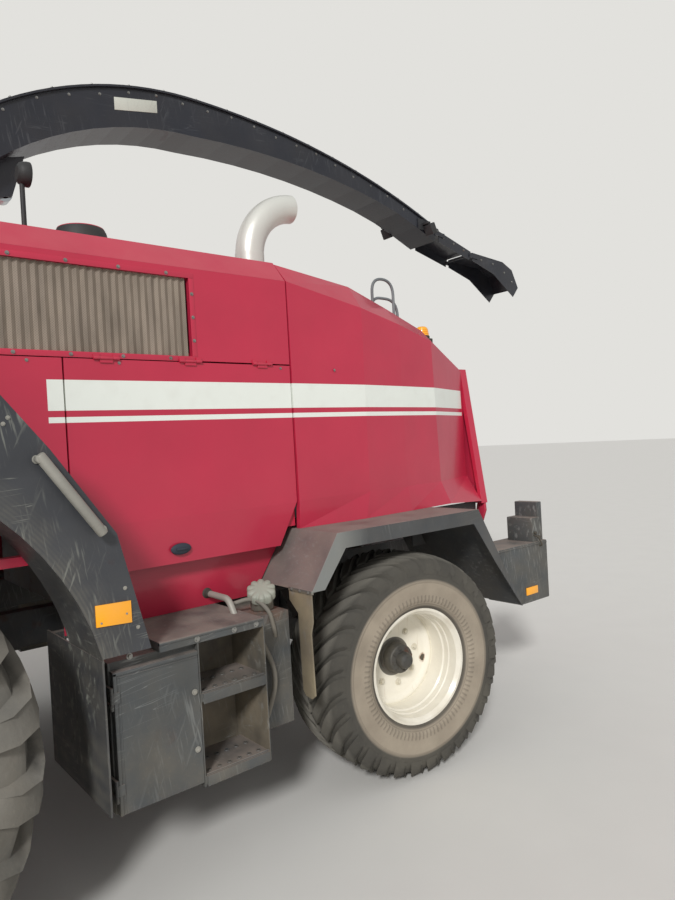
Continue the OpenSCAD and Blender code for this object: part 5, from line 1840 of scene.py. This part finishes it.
@dataclass
class BoxTrim(Assembly):
    """The stepped rear boxes with latches, reflectors, gap plates and corner tips."""

    face: float = 1.300
    tip_y: Station = (1.236 + AXLE_Y, 1.262 + AXLE_Y)

    def build(self) -> None:
        """Builds the trim on both sides."""
        x = self.face
        # Painted reflection: the amber finish makes this reflector glow.
        lens = Form().block(at(x, 1.342, 0.742), at(x + 0.009, 1.482, 0.797), 0.003)
        self.pair(lens, "box_reflectors", "amber")
        side = [(1.030, 1.119), (1.280, 0.681), (1.640, 0.681), (1.640, 1.119)]
        boxes = Form().slab(stations(side), 1.001, x, Axis.X, 0.008)
        boxes.block(at(1.062, 1.475, 1.100), at(1.289, 1.578, 1.298), 0.006)
        boxes.block(at(1.070, 1.572, 1.100), at(1.270, 1.635, 1.409), 0.006)
        shells = self.pair(boxes, "rear_box_shells", "plate")
        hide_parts("rear_boxes")
        self.pair(self.latch(), "box_latches", "rubber")
        plates = Form().block(at(0.984, 0.50, 1.20), at(0.990, 1.20, 1.445), 0.001)
        self.pair(plates, "rear_gap_plates", "black")
        tip = [(1.040, 1.442), (0.973, 1.424), (0.958, 1.355), (1.011, 1.289), (1.045, 1.374)]
        self.pair(Form().slab(tip, *self.tip_y, Axis.Y, 0.004), "hood_corner_tips", "hood")
        seams = Form().block(at(x - 0.002, 1.042, 1.098), at(x + 0.004, 1.632, 1.106), 0.001)
        self.pair(seams, "box_seams", "plate")

    def latch(self) -> Form:
        """A bent wire latch with its two round knobs."""
        x = self.face
        wire = [at(x - 0.02, 1.490, 1.170), at(x + 0.028, 1.490, 1.160)]
        wire += [at(x + 0.028, 1.540, 1.090), at(x - 0.005, 1.540, 1.085)]
        latch = Form().tube(bent(wire, 0.016, 5), 0.0055, 12)
        for y, z in ((1.50, 1.185), (1.545, 1.150)):
            latch.rod(at(x - 0.014, y, z), at(x + 0.006, y, z), 0.011, 20, 0.002)
        return latch


@dataclass
class CabLadder(Assembly):
    """Walkway beside the cab's door, the ladder down from it and two grab rails."""

    inner: float = 0.8203
    x0: float = 1.440
    x1: float = 1.560
    front: float = -4.430
    rear: float = -4.060
    walkway_rear: float = -3.560
    floor: float = 2.010

    def build(self) -> None:
        """Builds the ladder, its beam and its rails."""
        x0, x1, y0, y1, top = self.x0, self.x1, self.front, self.rear, self.floor
        low, high = at(self.inner, y0, top - 0.035), at(x1, self.walkway_rear, top)
        ladder = Form().block(low, high, 0.004)
        for i in range(14):
            y = y0 + 0.05 + 0.06 * i
            low, high = at(self.inner + 0.03, y, top - 0.002), at(x1 - 0.03, y + 0.010, top + 0.004)
            ladder.block(low, high, 0.002)
        for y in (y0, y1 - 0.008):
            ladder.block(at(x0, y, 0.480), at(x1, y + 0.008, top - 0.034), 0.002)
        collar = [(0.010, 0.0), (0.014, 0.0), (0.012, 0.004)]
        for i in range(5):
            z = 0.490 + 0.300 * i
            ladder.block(at(x0, y0 + 0.007, z), at(x1, y1 - 0.007, z + 0.030), 0.004)
            for j in range(6):
                spot = moved(x1 - 0.04, y0 + 0.05 + 0.054 * j, z + 0.030)
                ladder.lathe(collar, 16, ring=True, place=spot)
        ladder.block(at(0.590, -4.230, 1.040), at(x0 + 0.001, -4.160, 1.100), 0.004)
        self.put(ladder, "cab_ladder", "plate")
        rails = Form()
        knob = [(0, 0.014), (0.009, 0.012), (0.0145, 0.004), (0.0145, 0.0), (0, 0.0)]
        foot, x = x1 - 0.004, x1 + 0.034
        for y in (y0 + 0.004, y1 - 0.004):
            path = [at(x, y, 2.760), at(x, y, 1.000), at(foot, y, 1.000)]
            rails.tube(bent(path, 0.03), 0.015, 18)
            rails.rod(at(foot, y, 1.980), at(x, y, 1.980), 0.012, 16)
            rails.lathe(knob, 20, place=moved(x, y, 2.759))
        self.put(rails, "cab_grab_rails", "pale_tube")


@dataclass
class CabFittings(Assembly):
    """Seat cushions, door handle, wiper and mirror glass of the cab."""

    floor: float = 2.0453
    handle_y: float = -4.275
    wiper_y: float = -4.452

    def build(self) -> None:
        """Builds the fittings."""
        self.seat()
        x, y = 0.822, self.handle_y
        path = [at(x, y, 2.72), at(x + 0.04, y, 2.72), at(x + 0.04, y, 2.90), at(x, y, 2.90)]
        handle = Form().tube(bent(path, 0.02), 0.009, 12)
        self.put(handle, "cab_door_handle", "plastic", "driver_door")
        y = self.wiper_y
        wiper = Form().rod(at(0.0, -4.444, 2.30), at(0.0, y, 2.34), 0.012, 16)
        wiper.tube([at(0.0, y, 2.33), at(0.18, -4.455, 2.60), at(0.36, y, 2.86)], 0.006, 10)
        wiper.block(at(0.345, y, 2.56), at(0.355, -4.440, 3.16), 0.002)
        self.put(wiper, "windscreen_wiper", "plastic")
        glass = Form().block(at(1.192, -4.462, 3.145), at(1.388, -4.456, 3.540), 0.002)
        self.pair(glass, "mirror_faces", "mirror")

    def pad(self, name: str, low: Point, high: Point, lean: Matrix) -> bpy.types.Object:
        """Makes one stuffed cushion, crowned and drawn in between its corners.

        Args:
            name: The piece's name.
            low: Lowest corner before it leans.
            high: Highest corner before it leans.
            lean: Turn about the seat's back edge.

        Returns:
            The cushion.
        """
        part = bmesh.new()
        bmesh.ops.create_cube(part, size=1.0)
        bmesh.ops.subdivide_edges(part, edges=part.edges[:], cuts=11, use_grid_fill=True)
        half = (Vector(high) - Vector(low)) / 2
        middle = (Vector(high) + Vector(low)) / 2
        for v in part.verts:
            u, w, t = (2 * c for c in v.co)
            narrow = 1 - 0.16 * abs(w) ** 6 * abs(t) ** 2
            short = 1 - 0.16 * abs(u) ** 6 * abs(t) ** 2
            crown = 1 - 0.22 * (u * u + w * w) / 2 - 0.10 * (abs(u) ** 8 + abs(w) ** 8)
            seam = 1 - 0.10 * math.exp(-(((abs(u) - 0.62) / 0.05) ** 2))
            spread = (u * half.x * narrow, w * half.y * short, t * half.z * crown * seam)
            v.co = middle + Vector(spread)
        axes = {"use_axis_x": True, "use_axis_y": True, "use_axis_z": True}
        bmesh.ops.smooth_vert(part, verts=part.verts, factor=0.5, **axes)
        bmesh.ops.recalc_face_normals(part, faces=part.faces)
        cushion = self.put(Form().take(part, lean), name, "cloth", crisp=180)
        smooth = cushion.modifiers.new("soft", "SUBSURF")
        smooth.levels = smooth.render_levels = 1
        return cushion

    def seat(self) -> None:
        """Builds the seat's base cushion, back cushion and pedestal."""
        z = self.floor
        low, high = at(-0.24, -3.83, z + 0.262), at(0.24, -3.335, z + 0.384)
        base = self.pad("seat_cushion", low, high, Matrix.Identity(4))
        hinge = moved(0, -3.345, z + 0.375) @ Matrix.Rotation(math.radians(-12), 4, "X")
        self.pad("seat_back_cushion", (-0.23, -0.045, 0.0), (0.23, 0.065, 0.640), hinge)
        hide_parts("cab_seat")
        shell = Form().block(at(-0.15, -3.75, z), at(0.15, -3.45, z + 0.264), 0.02)
        for i in range(5):
            fold = z + 0.045 * i
            shell.block(at(-0.158, -3.758, fold + 0.03), at(0.158, -3.442, fold + 0.045), 0.006)
        self.put(shell, "seat_pedestal", "plastic")


def main() -> None:
    """Builds the whole scene in order."""
    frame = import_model()
    palette = Palette()
    Viewpoint().build()
    Studio().build()
    palette.dress(frame["nodes"])
    for kind in (
        RunningGear,
        RoofFittings,
        HoodTrim,
        SpoutTrim,
        MudguardTrim,
        PlatformTrim,
        WheelFlaps,
        BoxTrim,
        CabLadder,
        CabFittings,
    ):
        LOG.info("building %s", kind.__name__)
        kind(palette).build()


if __name__ == "__main__":
    logging.basicConfig(level=logging.INFO, format="%(name)s: %(message)s")
    main()
